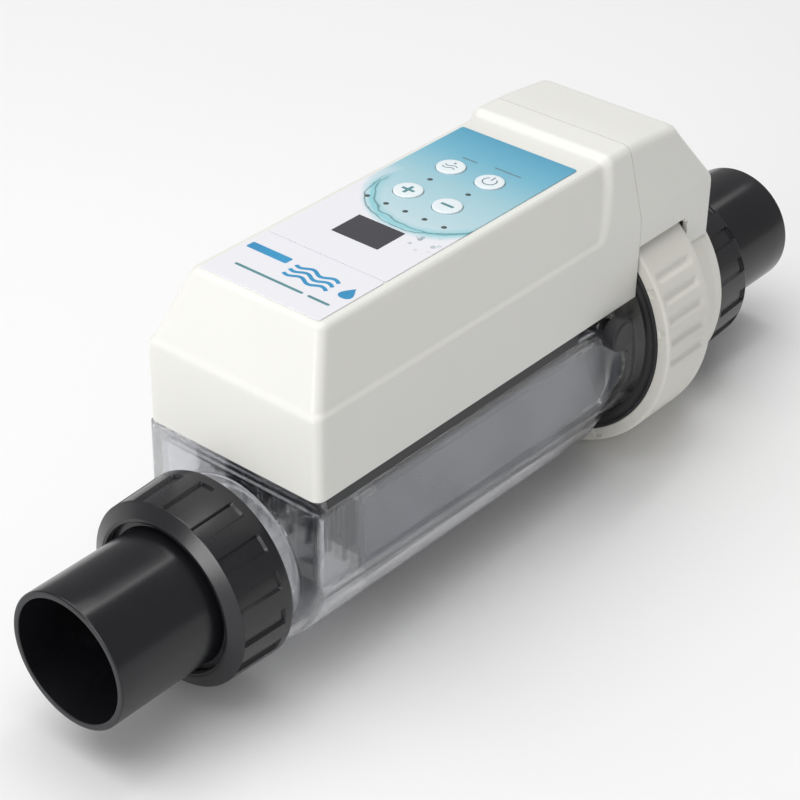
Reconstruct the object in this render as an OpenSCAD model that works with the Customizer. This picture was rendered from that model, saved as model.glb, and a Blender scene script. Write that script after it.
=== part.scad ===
// Salt chlorine generator for pools and spas.
// Water runs along +X, from the inlet spigot at the origin to the outlet spigot.
// +Z is up. All sizes are in millimetres.

/* [Pipework] */
// Outer diameter of the spigots (2 inch pipe size)
pipe_od = 60.3; // [50:0.1:63]
// Wall of the spigots
pipe_wall = 3; // [2.4:0.1:3.6]
// Length from the inlet face to the outlet face
total_len = 461.2; // [455:0.2:470]
// Length of each union tailpiece, flange included
tail_len = 58; // [56:1:60]
// Thickness of the tailpiece flange
flange_t = 3.5; // [3:0.5:4]
// Spigot length that shows outside each union nut
spigot_len = 51; // [49:0.5:51]
// Outer radius of the union nuts
nut_r = 42.3; // [42:0.1:44]
// Length of the union nuts
nut_len = 30; // [28:0.5:31]

/* [Cell housing] */
// Height of the chamber axis above the pipe axis
chamber_z = 18.3; // [18:0.1:19]
// Width over the flat sides
body_w = 92; // [90:1:94]
// Position of the housing's front face
body_x = 91.5; // [90:0.5:93]
// Radius of the curved bottom at the front
belly_r0 = 47.6; // [47:0.1:48]
// Radius of the curved bottom at the far end
belly_r1 = 49.6; // [49:0.1:50.5]
// Height of the curved bottom's axis
belly_z = 8; // [7:0.5:9]
// Wall thickness of the housing
wall = 4; // [3:0.5:4.5]
// Start of the round far end
round_x = 272.5; // [271:0.5:274]
// Outer radius of the collar that enters the lock ring
collar_r = 52.6; // [52:0.1:52.7]
// Radius over the collar's thread
thread_r = 56.2; // [55.8:0.1:56.4]
// Start of the thread on the collar
thread_x0 = 318.8; // [318.6:0.1:320]
// Far face of the collar
collar_x1 = 329; // [328:0.5:329.5]

/* [Lock ring] */
// Near face of the lock ring
ring_x = 303; // [302:0.5:305]
// Length of the lock ring
ring_len = 35; // [33:0.5:36]
// Outer radius of the lock ring over its ribs
ring_r = 65.4; // [64:0.2:66]

/* [Controller] */
// Height of the cover's bottom edge
cover_z0 = 45; // [44:0.5:46]
// Height where the sides start to lean in
shoulder_z = 83; // [80:1:86]
// Height of the flat top
top_z = 113.4; // [112:0.2:115]
// Half width of the flat top
top_half = 33; // [31:0.5:34]
// Height of the raised rear part of the top
hump_z = 116; // [115:0.5:117]
// Start of the raised rear part
hump_x = 279; // [275:1:283]
// Joint between the main cover and the rear cap
seam_x = 302; // [301:0.5:303]
// Rear face of the rear cap
cap_x1 = 359.5; // [357:0.5:361]
// Thickness of the cover walls
skin = 2.8; // [2.4:0.1:3.2]

/* [Keypad] */
// Radius of a key
key_r = 6.4; // [6:0.1:6.6]
// Key travel
key_travel = 0.5; // [0.3:0.1:0.6]
// Distance of each key from the centre line
key_y = 10.4; // [9.5:0.1:11]
// Position of the plus and minus keys
key_x1 = 210.7; // [208:0.1:212]
// Position of the two function keys
key_x2 = 238.7; // [236:0.1:240]

/* [Electrodes] */
// Number of electrode plates
plate_count = 9; // [7:2:11]
// Distance between the two outermost plates
plate_spread = 72; // [68:1:72]
// Thickness of a plate
plate_t = 1.2; // [0.8:0.1:1.5]

/* [Hidden] */

// Boards, their screws and the cover's bosses
control_x = [148, 258];
control_half = 27;
control_screw_x = [155, 250];
control_screw_y = 22;
power_x = [118, 256];
power_half = 32;
stand_x = [123, 251];
stand_y = 27;
post_r = 3;
post_hole_r = 1.05;
boss_len = 18;
boss_r = 3.6;
boss_hole_r = 1.55;

$fn = 96;
eps = 0.01;
gap = 0.4;
pipe_r = pipe_od / 2;
bore_r = pipe_r - pipe_wall;
body_half = body_w / 2;

// Unions
tail_flange_r = 36.6;
nut_hole_r = 33.4;
nut_bore_r = 37.2;
nut_lip = tail_len - flange_t - spigot_len - gap;
nut_face_r = 35;
nut_edge_r = 41.3;
nut_bevel = 3.6;
nut_edge = 1;
nut_grooves = 16;
nut_groove = [2.2, 7, 22.6];
nut_groove_deep = 1.4;
nut_groove_turn = 2;
neck_r = 36;
neck_bore_r = 28;
neck_end = tail_len + gap;
outlet_end = total_len - neck_end;
oring_mid_r = 31.8;
oring_r = 1.6;

// Cell housing
top_plate_z = 39.4;
front_lip_z = 44.7;
front_wall = 5;
flat_end_r = 20;
flat_end_z = 12.5;
shoulder_r1 = 52;
shoulder_x1 = 285;
flare_x1 = 298;
collar_in_r = collar_r - wall;
cover_clear_r = collar_r + 0.55;
fit = 0.05;

// Flow sensor, through the side wall
sensor_x = 283;
sensor_z = 36;
sensor_r = 5;
sensor_cap_r = 7.5;
sensor_cap_t = 2.3;
sensor_boss_r = 8;
sensor_boss_y = [-40, -51.4];
sensor_washer_t = 0.8;
sensor_tip_y = -22;

// Lock ring
ring_mouth_r = 59.3;
ring_bore_r = thread_r + gap;
ring_lip_t = 3.4;
ring_lip_r = 54.6;
ring_x1 = ring_x + ring_len;
ring_groups = 4;
ribs_per_group = 5;
rib_pitch = 9;
rib_mid_angle = -16;
rib_inset = [2.6, 4];
seam_turn = 30;
ring_step = 3.2;
seal_out = 0.7;
seal_gap = 0.4;
rib_depth = 1.6;
rib_gap_w = 4.4;

// Head
head_plug_x = 316;
head_plug_r = collar_in_r - gap;
head_flange_r = thread_r;
head_x0 = collar_x1 + gap;
head_x1 = ring_x1 - ring_lip_t - gap;
barrel_r = 54.1;
barrel_in_r = 49.5;
shroud_r = 58;
shroud_x0 = ring_x1 + gap;
shroud_x1 = 352;
shroud_x2 = 366;
shroud_r2 = 50.6;
barrel_x1 = 350;
lead_slot = [13, 40];

// Electrodes
plate_x0 = 125;
plate_x1 = 314;
plate_z0 = -9;
plate_z1 = 28;
plate_pitch = plate_spread / (plate_count - 1);
bus_z = [29, 32];
bus_w = 6;
anode_bus_x = 294;
cathode_bus_x = 304;
stud_y = 12;
stud_z = 43;
stud_r = 3;
stud_x1 = 348;
lead_top = 92;
comb_x = [127, 270];

// Controller
tray_x0 = body_x + 5.8;
tray_back = 2;
tray_x1 = 262 - tray_back;
tray_half = body_half - 0.3;
tray_floor = 3;
tray_z0 = top_plate_z + 0.3;
tray_wall = 2.5;
gasket_t = 0.2;
gasket_in = 2.4;
screw_r = 1.5;
head_r = 3.1;
head_t = 1.4;
cap_head_r = 3.2;
clear = 0.3;
cover_screw_len = 15.3;
board_t = 1.6;
power_z = 48;
control_z = 102;
front_lean = 14;
rear_lean = 19.5;
rear_shoulder_z = 82;
hump_rear_z = 112.6;
hump_half = 35.5;
swage = 1.3;
notch_x1 = 337.5;
notch_z = 70;
cover_screw_x = [110, 180, 250];
cover_screw_y = 38;
cap_screw_y = 30;
cap_screw_z = 66;
window = [164.6, 182];
window_half = 12.2;
label_x = [109, 272.5];
label_half = 31;
label_t = 0.5;
led_row_x = 196.4;
led_mid_x = 224.7;
led_pitch = 10.2;
key_rim_gap = 0.3;
key_rim_t = 0.9;
key_rim_w = 1.2;
key_proud = 0.7;
gland_x = 225;
gland_z = 64;
cord_hole_r = 4.2;

// ---- helpers ----

// Places children so that their +Z runs along +X
module along_x(x, z = 0) {
  translate([x, 0, z]) rotate([0, 90, 0]) children();
}

// Solid cylinder along X between two stations
module rod_x(x0, x1, r, z = 0, r2 = -1) {
  along_x(x0, z) cylinder(h = x1 - x0, r1 = r, r2 = r2 < 0 ? r : r2);
}

// Box given by its lowest and highest corners
module block(lo, hi) {
  translate(lo) cube(hi - lo);
}

// Repeats children on both sides of the centre plane
module both_sides() {
  children();
  mirror([0, 1, 0]) children();
}

// O-ring round the X axis
module oring(x, z, mid_r, r) {
  along_x(x, z) rotate_extrude() translate([mid_r, 0]) circle(r = r, $fn = 24);
}

// ---- pipework ----

// Spigot with a flange; local +Z runs from the pipe end to the flange
module tailpiece() {
  difference() {
    union() {
      cylinder(h = tail_len, r = pipe_r);
      translate([0, 0, tail_len - flange_t]) cylinder(h = flange_t, r = tail_flange_r);
    }
    translate([0, 0, -1]) cylinder(h = tail_len + 2, r = bore_r);
  }
}

// Union nut with grip grooves; local +Z runs from its open front to the thread end
module union_nut(turn) {
  difference() {
    rotate_extrude()
      polygon([
        [nut_hole_r, 0], [nut_face_r, 0], [nut_edge_r, nut_bevel],
        [nut_r, nut_len - nut_edge], [nut_r - nut_edge, nut_len], [nut_bore_r, nut_len],
        [nut_bore_r, nut_lip], [nut_hole_r, nut_lip]
      ]);
    for (i = [0 : nut_grooves - 1])
      rotate(i * 360 / nut_grooves + turn)
        translate([nut_r - nut_groove_deep, -nut_groove[1] / 2, nut_bevel - gap])
          cube(nut_groove);
  }
}

module inlet_tailpiece() {
  color([0.1, 0.1, 0.11]) along_x(0) tailpiece();
}

module inlet_union_nut() {
  color([0.12, 0.12, 0.13]) along_x(spigot_len) union_nut(nut_groove_turn);
}

module outlet_tailpiece() {
  color([0.1, 0.1, 0.11]) translate([total_len, 0, 0]) rotate([0, -90, 0]) tailpiece();
}

module outlet_union_nut() {
  color([0.12, 0.12, 0.13]) translate([total_len - spigot_len, 0, 0]) rotate([0, -90, 0])
    union_nut(-nut_groove_turn);
}

// ---- cell housing ----

// Flat-sided, round-bottomed prism; inset makes the cavity
module belly(x0, x1, inset, top) {
  grow = (belly_r1 - belly_r0) / (shoulder_x1 - body_x);
  r0 = belly_r0 - inset + grow * (x0 - body_x);
  r1 = belly_r0 - inset + grow * (x1 - body_x);
  half = body_half - inset;
  intersection() {
    rod_x(x0, x1, r0, belly_z, r1);
    block([x0, -half, belly_z - r1 - 1], [x1, half, top]);
  }
  block([x0, -half, belly_z], [x1, half, top]);
}

// Round end between the chamber and the collar; the flat sides run into it with a round end
module round_end() {
  difference() {
    union() {
      rod_x(round_x, shoulder_x1, shoulder_r1, chamber_z);
      rod_x(shoulder_x1, flare_x1, shoulder_r1, chamber_z, collar_r);
    }
    both_sides() translate([round_x, body_half, flat_end_z]) rotate([-90, 0, 0]) cylinder(h = wall * 3, r = flat_end_r);
  }
}

// Clear housing: inlet neck, chamber and round collar with its thread
module cell_housing() {
  color([0.72, 0.74, 0.78, 0.45]) difference() {
    union() {
      rod_x(neck_end, body_x + 1, neck_r);
      belly(body_x, shoulder_x1 + wall, 0, top_plate_z);
      block([body_x, -body_half, top_plate_z - 1], [body_x + front_wall, body_half, front_lip_z]);
      round_end();
      rod_x(flare_x1, collar_x1, collar_r, chamber_z);
      rod_x(thread_x0, collar_x1 - 1, thread_r, chamber_z);
      at_sensor(sensor_boss_y[0]) cylinder(h = sensor_boss_y[0] - sensor_boss_y[1], r = sensor_boss_r);
    }
    rod_x(neck_end - 1, body_x + front_wall + 1, neck_bore_r);
    belly(body_x + front_wall, shoulder_x1, wall, top_plate_z - wall);
    intersection() {
      rod_x(round_x + wall, flare_x1, shoulder_r1 - wall, chamber_z);
      block([round_x, wall - body_half, -body_w], [flare_x1 + 1, body_half - wall, body_w]);
    }
    rod_x(flare_x1 - eps, collar_x1 + 1, collar_in_r, chamber_z);
    oring(neck_end + oring_r, 0, oring_mid_r, oring_r + 0.05);
    at_sensor(sensor_tip_y) cylinder(h = sensor_tip_y - sensor_boss_y[1] + 1, r = sensor_r + fit);
  }
}

module inlet_oring() {
  color([0.08, 0.08, 0.08]) oring(neck_end + oring_r, 0, oring_mid_r, oring_r);
}

// Places children with +Z pointing out of the visible side, on the sensor's axis
module at_sensor(y) {
  translate([sensor_x, y, sensor_z]) rotate([90, 0, 0]) children();
}

// Flow and temperature probe through the side of the round end
module flow_sensor() {
  tip = 2;
  color([0.07, 0.07, 0.08]) {
    at_sensor(sensor_tip_y) cylinder(h = tip, r1 = sensor_r - tip, r2 = sensor_r);
    at_sensor(sensor_tip_y - tip) cylinder(h = sensor_tip_y - tip - sensor_boss_y[1] + 1, r = sensor_r);
    at_sensor(sensor_boss_y[1] - sensor_washer_t) cylinder(h = sensor_cap_t, r = sensor_cap_r);
  }
}

// Washer between the probe's cap and its boss
module sensor_seal() {
  color([0.15, 0.15, 0.16]) at_sensor(sensor_boss_y[1]) difference() {
    cylinder(h = sensor_washer_t, r = sensor_cap_r - 0.5);
    translate([0, 0, -1]) cylinder(h = sensor_washer_t + 2, r = sensor_r + fit);
  }
}

// ---- lock ring and head ----

// White screw ring with four groups of finger ribs
module lock_ring() {
  rib_len = ring_len - rib_inset[0] - rib_inset[1];
  color([0.87, 0.86, 0.82]) along_x(ring_x, chamber_z) difference() {
    rotate(seam_turn) rotate_extrude()
      polygon([
        [ring_mouth_r, 0], [ring_r - 1.5, 0], [ring_r, 1.5],
        [ring_r, ring_len - 3], [ring_r - 3, ring_len], [ring_lip_r, ring_len],
        [ring_lip_r, ring_len - ring_lip_t], [ring_bore_r, ring_len - ring_lip_t],
        [ring_bore_r, ring_step], [ring_mouth_r, ring_step]
      ]);
    for (g = [0 : ring_groups - 1])
      for (i = [0 : ribs_per_group - 1])
        rotate(rib_mid_angle + g * 360 / ring_groups + (i - (ribs_per_group - 1) / 2) * rib_pitch)
          translate([ring_r - rib_depth, -rib_gap_w / 2, rib_inset[0]]) cube([rib_depth + 2, rib_gap_w, rib_len]);
  }
}

// Black wiper seal that fills the lock ring's mouth and turns with it
module collar_seal() {
  color([0.06, 0.06, 0.07]) along_x(ring_x - seal_out, chamber_z) difference() {
    cylinder(h = seal_out + ring_step - 0.1, r = ring_mouth_r - fit);
    translate([0, 0, -1]) cylinder(h = ring_step + 3, r = collar_r + seal_gap);
  }
}

// Outlet head: plug, clamped flange, outlet neck and terminal pocket
module cell_head() {
  color([0.86, 0.85, 0.81]) difference() {
    union() {
      rod_x(head_plug_x, head_x0 + eps, head_plug_r, chamber_z);
      rod_x(head_x0, head_x1, head_flange_r, chamber_z);
      difference() {
        rod_x(head_x1 - eps, barrel_x1, barrel_r, chamber_z);
        rod_x(head_x1, barrel_x1 + 1, barrel_in_r, chamber_z);
      }
      rod_x(head_x1 - eps, outlet_end, neck_r);
    }
    rod_x(head_plug_x - 1, outlet_end + 1, neck_bore_r);
    oring(outlet_end - oring_r, 0, oring_mid_r, oring_r + 0.05);
    along_x(head_plug_x + 3, chamber_z) difference() {
      cylinder(h = 5, r = head_plug_r + 1);
      translate([0, 0, -1]) cylinder(h = 7, r = head_plug_r - 3);
    }
    both_sides()
      translate([head_plug_x - 1, stud_y, stud_z]) rotate([0, 90, 0]) cylinder(h = 30, r = stud_r + 1.5);
    block([head_x1 + 1, -lead_slot[1] / 2, 45], [head_x1 + 1 + lead_slot[0], lead_slot[1] / 2, 90]);
  }
}

module head_oring() {
  color([0.08, 0.08, 0.08]) oring(head_plug_x + 5.5, chamber_z, head_plug_r - 1.15, 1.45);
}

module outlet_oring() {
  color([0.08, 0.08, 0.08]) oring(outlet_end - oring_r, 0, oring_mid_r, oring_r);
}

// White shell behind the lock ring that closes the terminal pocket
module head_shroud() {
  color([0.87, 0.86, 0.82]) difference() {
    union() {
      rod_x(shroud_x0, shroud_x1, shroud_r, chamber_z);
      rod_x(shroud_x1 - eps, shroud_x1 + 9, shroud_r, chamber_z, shroud_r - 2.6);
      rod_x(shroud_x1 + 9 - eps, shroud_x2, shroud_r - 2.6, chamber_z, shroud_r2);
      both_sides() block([shroud_x1 - 3.6, cap_screw_y - 4, 55], [shroud_x1 + 3.4, cap_screw_y + 4, 73]);
    }
    rod_x(shroud_x0 - 1, barrel_x1 + 0.3, barrel_r + 0.1, chamber_z);
    rod_x(barrel_x1 - 1, shroud_x2 - 3, barrel_in_r - 1.5, chamber_z);
    rod_x(shroud_x0, shroud_x2 + 1, neck_r + 0.2);
    both_sides() translate([0, cap_screw_y, cap_screw_z]) {
      rod_x(shroud_x1 - 6, shroud_x2 + 1, screw_r + fit);
      rod_x(cap_x1 - 1, shroud_x2 + 1, cap_head_r + clear);
    }
    block([shroud_x0 - 1, -lead_slot[1] / 2, 60], [head_x1 + 1 + lead_slot[0], lead_slot[1] / 2, 90]);
  }
}

// ---- electrodes ----

function plate_y(i) = (i - (plate_count - 1) / 2) * plate_pitch;

// Plates of one polarity with their bus bar and upright tab
module plate_set(first, bus_x, side) {
  for (i = [first : 2 : plate_count - 1]) {
    block([plate_x0, plate_y(i) - plate_t / 2, plate_z0], [plate_x1, plate_y(i) + plate_t / 2, plate_z1]);
    block([bus_x, plate_y(i) - plate_t / 2, plate_z1 - 1], [bus_x + bus_w, plate_y(i) + plate_t / 2, bus_z[0] + 1]);
  }
  block([bus_x, plate_y(first) - 1, bus_z[0]], [bus_x + bus_w, -plate_y(first) + 1, bus_z[1]]);
  block([bus_x, side * stud_y - 4, bus_z[0]], [bus_x + bus_w, side * stud_y + 4, stud_z + 5]);
}

module anode_plates() {
  color([0.45, 0.46, 0.48]) plate_set(0, anode_bus_x, 1);
}

module cathode_plates() {
  color([0.6, 0.6, 0.62]) plate_set(1, cathode_bus_x, -1);
}

// Slotted bars that keep the plates apart, above and below, near both ends
module plate_combs() {
  color([0.85, 0.85, 0.83])
    for (x = comb_x) for (s = [0, 1]) {
      bar_z = s == 0 ? plate_z0 - 2.6 : plate_z1 + 0.3;
      tooth_z = s == 0 ? plate_z0 - 1 : plate_z1 - 5;
      half = plate_spread / 2 - 2;
      block([x, -half, bar_z], [x + 5, half, bar_z + 2]);
      for (i = [0 : plate_count - 2])
        block([x, plate_y(i) + plate_t / 2 + 0.1, tooth_z],
              [x + 5, plate_y(i + 1) - plate_t / 2 - 0.1, tooth_z + 6]);
    }
}

module stud(bus_x, side) {
  translate([bus_x + bus_w, side * stud_y, stud_z])
    rotate([0, 90, 0]) cylinder(h = stud_x1 - bus_x - bus_w, r = stud_r);
}

module anode_stud() {
  color([0.62, 0.62, 0.64]) stud(anode_bus_x, 1);
}

module cathode_stud() {
  color([0.62, 0.62, 0.64]) stud(cathode_bus_x, -1);
}

// Rubber bushes that seal the studs in the head
module stud_seals() {
  color([0.1, 0.1, 0.1]) both_sides()
    translate([head_plug_x - 1.5, stud_y, stud_z]) rotate([0, 90, 0]) difference() {
      union() {
        cylinder(h = 17, r = stud_r + 1.45);
        cylinder(h = 1.5, r = stud_r + 3);
      }
      translate([0, 0, -1]) cylinder(h = 20, r = stud_r + 0.03);
    }
}

// One hexagon nut each side of the lead lug on both studs
module stud_nuts() {
  color([0.75, 0.75, 0.76]) both_sides()
    for (x = [stud_x1 - 12.2, stud_x1 - 5.2])
      translate([x, stud_y, stud_z]) rotate([0, 90, 0]) difference() {
        cylinder(h = 3.6, r = 5.2, $fn = 6);
        translate([0, 0, -1]) cylinder(h = 6, r = stud_r + 0.03);
      }
}

// Heavy lead over the lock ring from the power board to a stud, with its ring lug
module power_lead(side) {
  lug_x = stud_x1 - 8.4;
  lead_w = 4.4;
  start_x = 248;
  y0 = side * stud_y - lead_w / 2;
  difference() {
    union() {
      translate([lug_x, side * stud_y, stud_z]) rotate([0, 90, 0]) cylinder(h = 3, r = 5.5);
      block([lug_x, side * stud_y - 2.5, stud_z], [lug_x + 3, side * stud_y + 2.5, stud_z + 14]);
    }
    translate([lug_x - 1, side * stud_y, stud_z]) rotate([0, 90, 0]) cylinder(h = 6, r = stud_r + 0.03);
  }
  block([start_x, y0, power_z + 6], [start_x + lead_w, y0 + lead_w, lead_top]);
  block([start_x, y0, lead_top - lead_w], [lug_x + lead_w - 0.8, y0 + lead_w, lead_top]);
  block([lug_x - 0.8, y0, stud_z + 10], [lug_x + lead_w - 0.8, y0 + lead_w, lead_top]);
}

module anode_lead() {
  color([0.7, 0.1, 0.08]) power_lead(1);
}

module cathode_lead() {
  color([0.1, 0.1, 0.1]) power_lead(-1);
}

// ---- controller shells ----

// Black tray under the electronics, with screw holes and a rim for the cover
module base_tray() {
  color([0.13, 0.13, 0.14]) difference() {
    block([tray_x0, -tray_half, tray_z0], [tray_x1, tray_half, cover_z0 - gasket_t]);
    block(
      [tray_x0 + tray_wall, -tray_half + tray_wall, tray_z0 + tray_floor],
      [tray_x1 - tray_wall, tray_half - tray_wall, cover_z0 + 1]
    );
    for (x = cover_screw_x) both_sides() translate([x, cover_screw_y, tray_z0]) {
      translate([0, 0, -1]) cylinder(h = tray_floor + 2, r = screw_r + clear);
      translate([0, 0, -1]) cylinder(h = head_t + 1 + clear, r = head_r + clear);
    }
  }
}

// Foam gasket between tray rim and cover, just inside the outer wall
module tray_gasket() {
  color([0.2, 0.2, 0.2]) difference() {
    block([tray_x0 + 0.6, -tray_half + 1, cover_z0 - gasket_t], [tray_x1 - 0.4, tray_half - 1, cover_z0]);
    block(
      [tray_x0 + gasket_in, -tray_half + gasket_in, cover_z0 - 1],
      [tray_x1 - gasket_in, tray_half - gasket_in, cover_z0 + 1]
    );
  }
}

// Rounded corner post used by the cover hulls
module knob(x, y, z, r) {
  translate([x, y, z]) sphere(r = r, $fn = 32);
}

// Main cover block: upright lower band, leaning upper part
module cover_form(inset, x1) {
  h = body_half - inset;
  front = body_x + inset;
  r = max(0.8, 4 - inset);
  // Upright band
  hull() {
    for (s = [-1, 1]) {
      translate([front + r, s * (h - r), cover_z0 - (inset > 0 ? 2 : 0)])
        cylinder(h = shoulder_z - cover_z0 - 1, r = r, $fn = 32);
      translate([x1 - 1, s * (h - 1) - 1, cover_z0 - (inset > 0 ? 2 : 0)])
        cube([1, 2, shoulder_z - cover_z0 - 1]);
      knob(front + r + 0.6, s * (h - r - swage), shoulder_z + 1.5 - r * 0.3, r);
      translate([x1 - 1, s * (h - 1 - swage) - 1, shoulder_z + 1]) cube([1, 2, 1]);
    }
  }
  // Leaning part
  rt = max(1, 4 - inset);
  hull() {
    for (s = [-1, 1]) {
      knob(front + r + 1.2, s * (h - r - swage), shoulder_z - 1, r);
      translate([x1 - 1, s * (h - 1 - swage) - 1, shoulder_z - 1]) cube([1, 2, 1]);
      knob(front + front_lean + rt, s * (top_half + 1.2 - inset - rt), top_z - inset - rt, rt);
      translate([x1 - 1, s * (top_half + 1.2 - inset - rt), top_z - inset - rt])
        rotate([0, 90, 0]) cylinder(h = 1, r = rt, $fn = 32);
    }
  }
}

// Raised rear block
module hump_form(inset, x0) {
  h = body_half - inset;
  rt = max(1, 7 - inset);
  end = cap_x1 - inset;
  hull() {
    for (s = [-1, 1]) {
      translate([x0, s * (h - 1) - 1, cover_z0]) cube([1, 2, rear_shoulder_z - cover_z0]);
      translate([end - 4, s * (h - 4), cover_z0]) cylinder(h = rear_shoulder_z - cover_z0 - 2, r = 4, $fn = 32);
      knob(end - 4, s * (h - 4), rear_shoulder_z - 3, 4);
      translate([x0, s * (hump_half - inset - rt), hump_z - inset - rt])
        rotate([0, 90, 0]) cylinder(h = 1, r = rt, $fn = 32);
      knob(end - rear_lean - rt * 0.6, s * (hump_half - inset - rt), hump_rear_z - inset - rt, rt);
    }
  }
}

// Screw bosses that hang from the inside of the cover
module cover_bosses() {
  for (x = cover_screw_x) both_sides()
    translate([x, cover_screw_y, cover_z0]) difference() {
      union() {
        cylinder(h = boss_len, r = boss_r);
        translate([-1, 0, 0]) cube([2, 6, boss_len]);
      }
      translate([0, 0, -1]) cylinder(h = boss_len - 3, r = boss_hole_r);
    }
  for (x = control_screw_x) both_sides()
    translate([x, control_screw_y, control_z + board_t]) difference() {
      cylinder(h = top_z - control_z - board_t - 2, r = post_r);
      translate([0, 0, -1]) cylinder(h = 6, r = post_hole_r);
    }
}

// White main cover over the electronics
module control_cover() {
  color([0.92, 0.92, 0.9]) {
    difference() {
      union() {
        cover_form(0, seam_x);
        hump_form_front();
      }
      cover_form(skin, seam_x + 5);
      block([body_x + skin, -body_half + skin, cover_z0 - 10], [seam_x + 5, body_half - skin, shoulder_z - 8]);
      rod_x(round_x - 12, seam_x + 5, cover_clear_r, chamber_z);
      for (x = [key_x1, key_x2]) for (s = [-1, 1])
        translate([x, s * key_y, top_z - 10]) cylinder(h = 20, r = key_r + 0.3);
      block([window[0] + 0.6, -window_half + 0.6, top_z - 10], [window[1] - 0.6, window_half - 0.6, top_z + 5]);
      led_sites() translate([0, 0, top_z - 10]) cylinder(h = 20, r = 1.25, $fn = 24);
      translate([gland_x, body_half - 10, gland_z]) rotate([-90, 0, 0]) cylinder(h = 20, r = 8.1);
    }
    cover_bosses();
  }
}

// Front slope of the raised rear part, on the main cover
module hump_form_front() {
  rt = 7;
  difference() {
    hull() {
      for (s = [-1, 1]) {
        translate([hump_x - 6, s * (top_half - 6), top_z - rt]) sphere(r = rt, $fn = 32);
        translate([hump_x + 8, s * (hump_half - rt), hump_z - rt]) sphere(r = rt, $fn = 32);
        translate([seam_x - 1, s * (hump_half - rt), hump_z - rt])
          rotate([0, 90, 0]) cylinder(h = 1, r = rt, $fn = 32);
        translate([hump_x - 4, s * (body_half - 2) - 1, rear_shoulder_z - 8]) cube([1, 2, 6]);
        translate([seam_x - 1, s * (body_half - 1) - 1, rear_shoulder_z - 8]) cube([1, 2, 8]);
      }
    }
    block([hump_x - 30, -body_half, shoulder_z - 40], [seam_x + 1, body_half, shoulder_z - 9.5]);
  }
}

// White cap over the terminals, notched for the lock ring
module rear_cap() {
  color([0.91, 0.91, 0.89]) difference() {
    intersection() {
      hump_form(0, seam_x - 1);
      block([seam_x + 0.3, -body_half - 1, cover_z0 - 1], [cap_x1 + 1, body_half + 1, hump_z + 5]);
    }
    intersection() {
      hump_form(skin, seam_x - 5);
      block([seam_x - 5, -body_half, cover_z0 - 1], [cap_x1 - skin, body_half, hump_z]);
    }
    block([seam_x - 1, -body_half + skin, cover_z0 - 1], [cap_x1 - skin - 1, body_half - skin, cover_z0 + 20]);
    block([seam_x - 1, -body_half - 1, cover_z0 - 1], [notch_x1, body_half + 1, notch_z]);
    rod_x(seam_x - 1, notch_x1 + 1.5, ring_r + 1, chamber_z);
    rod_x(notch_x1, cap_x1 + 1, shroud_r + 0.6, chamber_z);
    both_sides()
      translate([cap_x1 - 8, cap_screw_y, cap_screw_z]) rotate([0, 90, 0]) cylinder(h = 12, r = 1.8);
    both_sides() block([notch_x1 - 0.5, body_half - 5, notch_z - 10], [notch_x1 + 2.4, body_half + 1, notch_z - 1.5]);
  }
}

// Countersunk screws that hold the cover to the tray
module cover_screws() {
  color([0.7, 0.7, 0.72]) for (x = cover_screw_x) both_sides()
    translate([x, cover_screw_y, tray_z0 + 0.1]) {
      cylinder(h = head_t, r1 = head_r, r2 = screw_r);
      cylinder(h = cover_screw_len, r = screw_r);
    }
}

// Two screws through the rear cap into the shroud's lugs
module cap_screws() {
  color([0.7, 0.7, 0.72]) both_sides()
    translate([shroud_x1 - 2, cap_screw_y, cap_screw_z]) rotate([0, 90, 0]) {
      cylinder(h = cap_x1 - shroud_x1 + 2.1, r = 1.5);
      translate([0, 0, cap_x1 - shroud_x1 + 2.05]) cylinder(h = 2, r = cap_head_r);
    }
}

// ---- keypad and display ----

// Places children at each status lamp
module led_sites() {
  for (i = [-2 : 2]) translate([led_row_x, i * led_pitch, 0]) children();
  for (s = [-1, 1]) translate([led_mid_x, s * led_pitch, 0]) children();
}

// Printed sheet on the flat top, cut out for keys, lamps and window
module key_label() {
  color([0.6, 0.83, 0.9]) difference() {
    block([label_x[0], -label_half, top_z], [label_x[1], label_half, top_z + label_t]);
    for (x = [key_x1, key_x2]) for (s = [-1, 1])
      translate([x, s * key_y, top_z - 1]) cylinder(h = 3, r = key_r + 0.3);
    block([window[0], -window_half, top_z - 1], [window[1], window_half, top_z + 2]);
    led_sites() translate([0, 0, top_z - 1]) cylinder(h = 3, r = 1.2, $fn = 24);
  }
}

module lcd_window() {
  color([0.2, 0.2, 0.22]) block(
    [window[0] + 0.1, -window_half + 0.1, top_z], [window[1] - 0.1, window_half - 0.1, top_z + label_t + 0.1]);
}

// Display block on the control board
module lcd_module() {
  color([0.35, 0.37, 0.35]) block(
    [window[0] - 2, -window_half - 2, control_z + board_t], [window[1] + 2, window_half + 2, top_z - skin - 0.4]);
}

// Seven light pipes from the control board to the label
module status_leds() {
  color([0.4, 0.4, 0.42]) led_sites()
    translate([0, 0, control_z + board_t]) cylinder(h = top_z + label_t + 0.1 - control_z - board_t, r = 1.1, $fn = 24);
}

module control_board() {
  color([0.1, 0.35, 0.2]) difference() {
    block([control_x[0], -control_half, control_z], [control_x[1], control_half, control_z + board_t]);
    for (x = control_screw_x) both_sides() translate([x, control_screw_y, control_z - 1]) cylinder(h = 4, r = 1.3);
  }
}

// Four push switches under the keys
module key_switches() {
  stem_top = top_z - skin - key_rim_gap - key_rim_t - key_travel - 0.2;
  color([0.15, 0.15, 0.15]) for (x = [key_x1, key_x2]) for (s = [-1, 1]) {
    block([x - 3, s * key_y - 3, control_z + board_t], [x + 3, s * key_y + 3, control_z + board_t + 3.5]);
    translate([x, s * key_y, control_z + board_t + 3]) cylinder(h = stem_top - control_z - board_t - 3, r = 1.7);
  }
}

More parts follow.
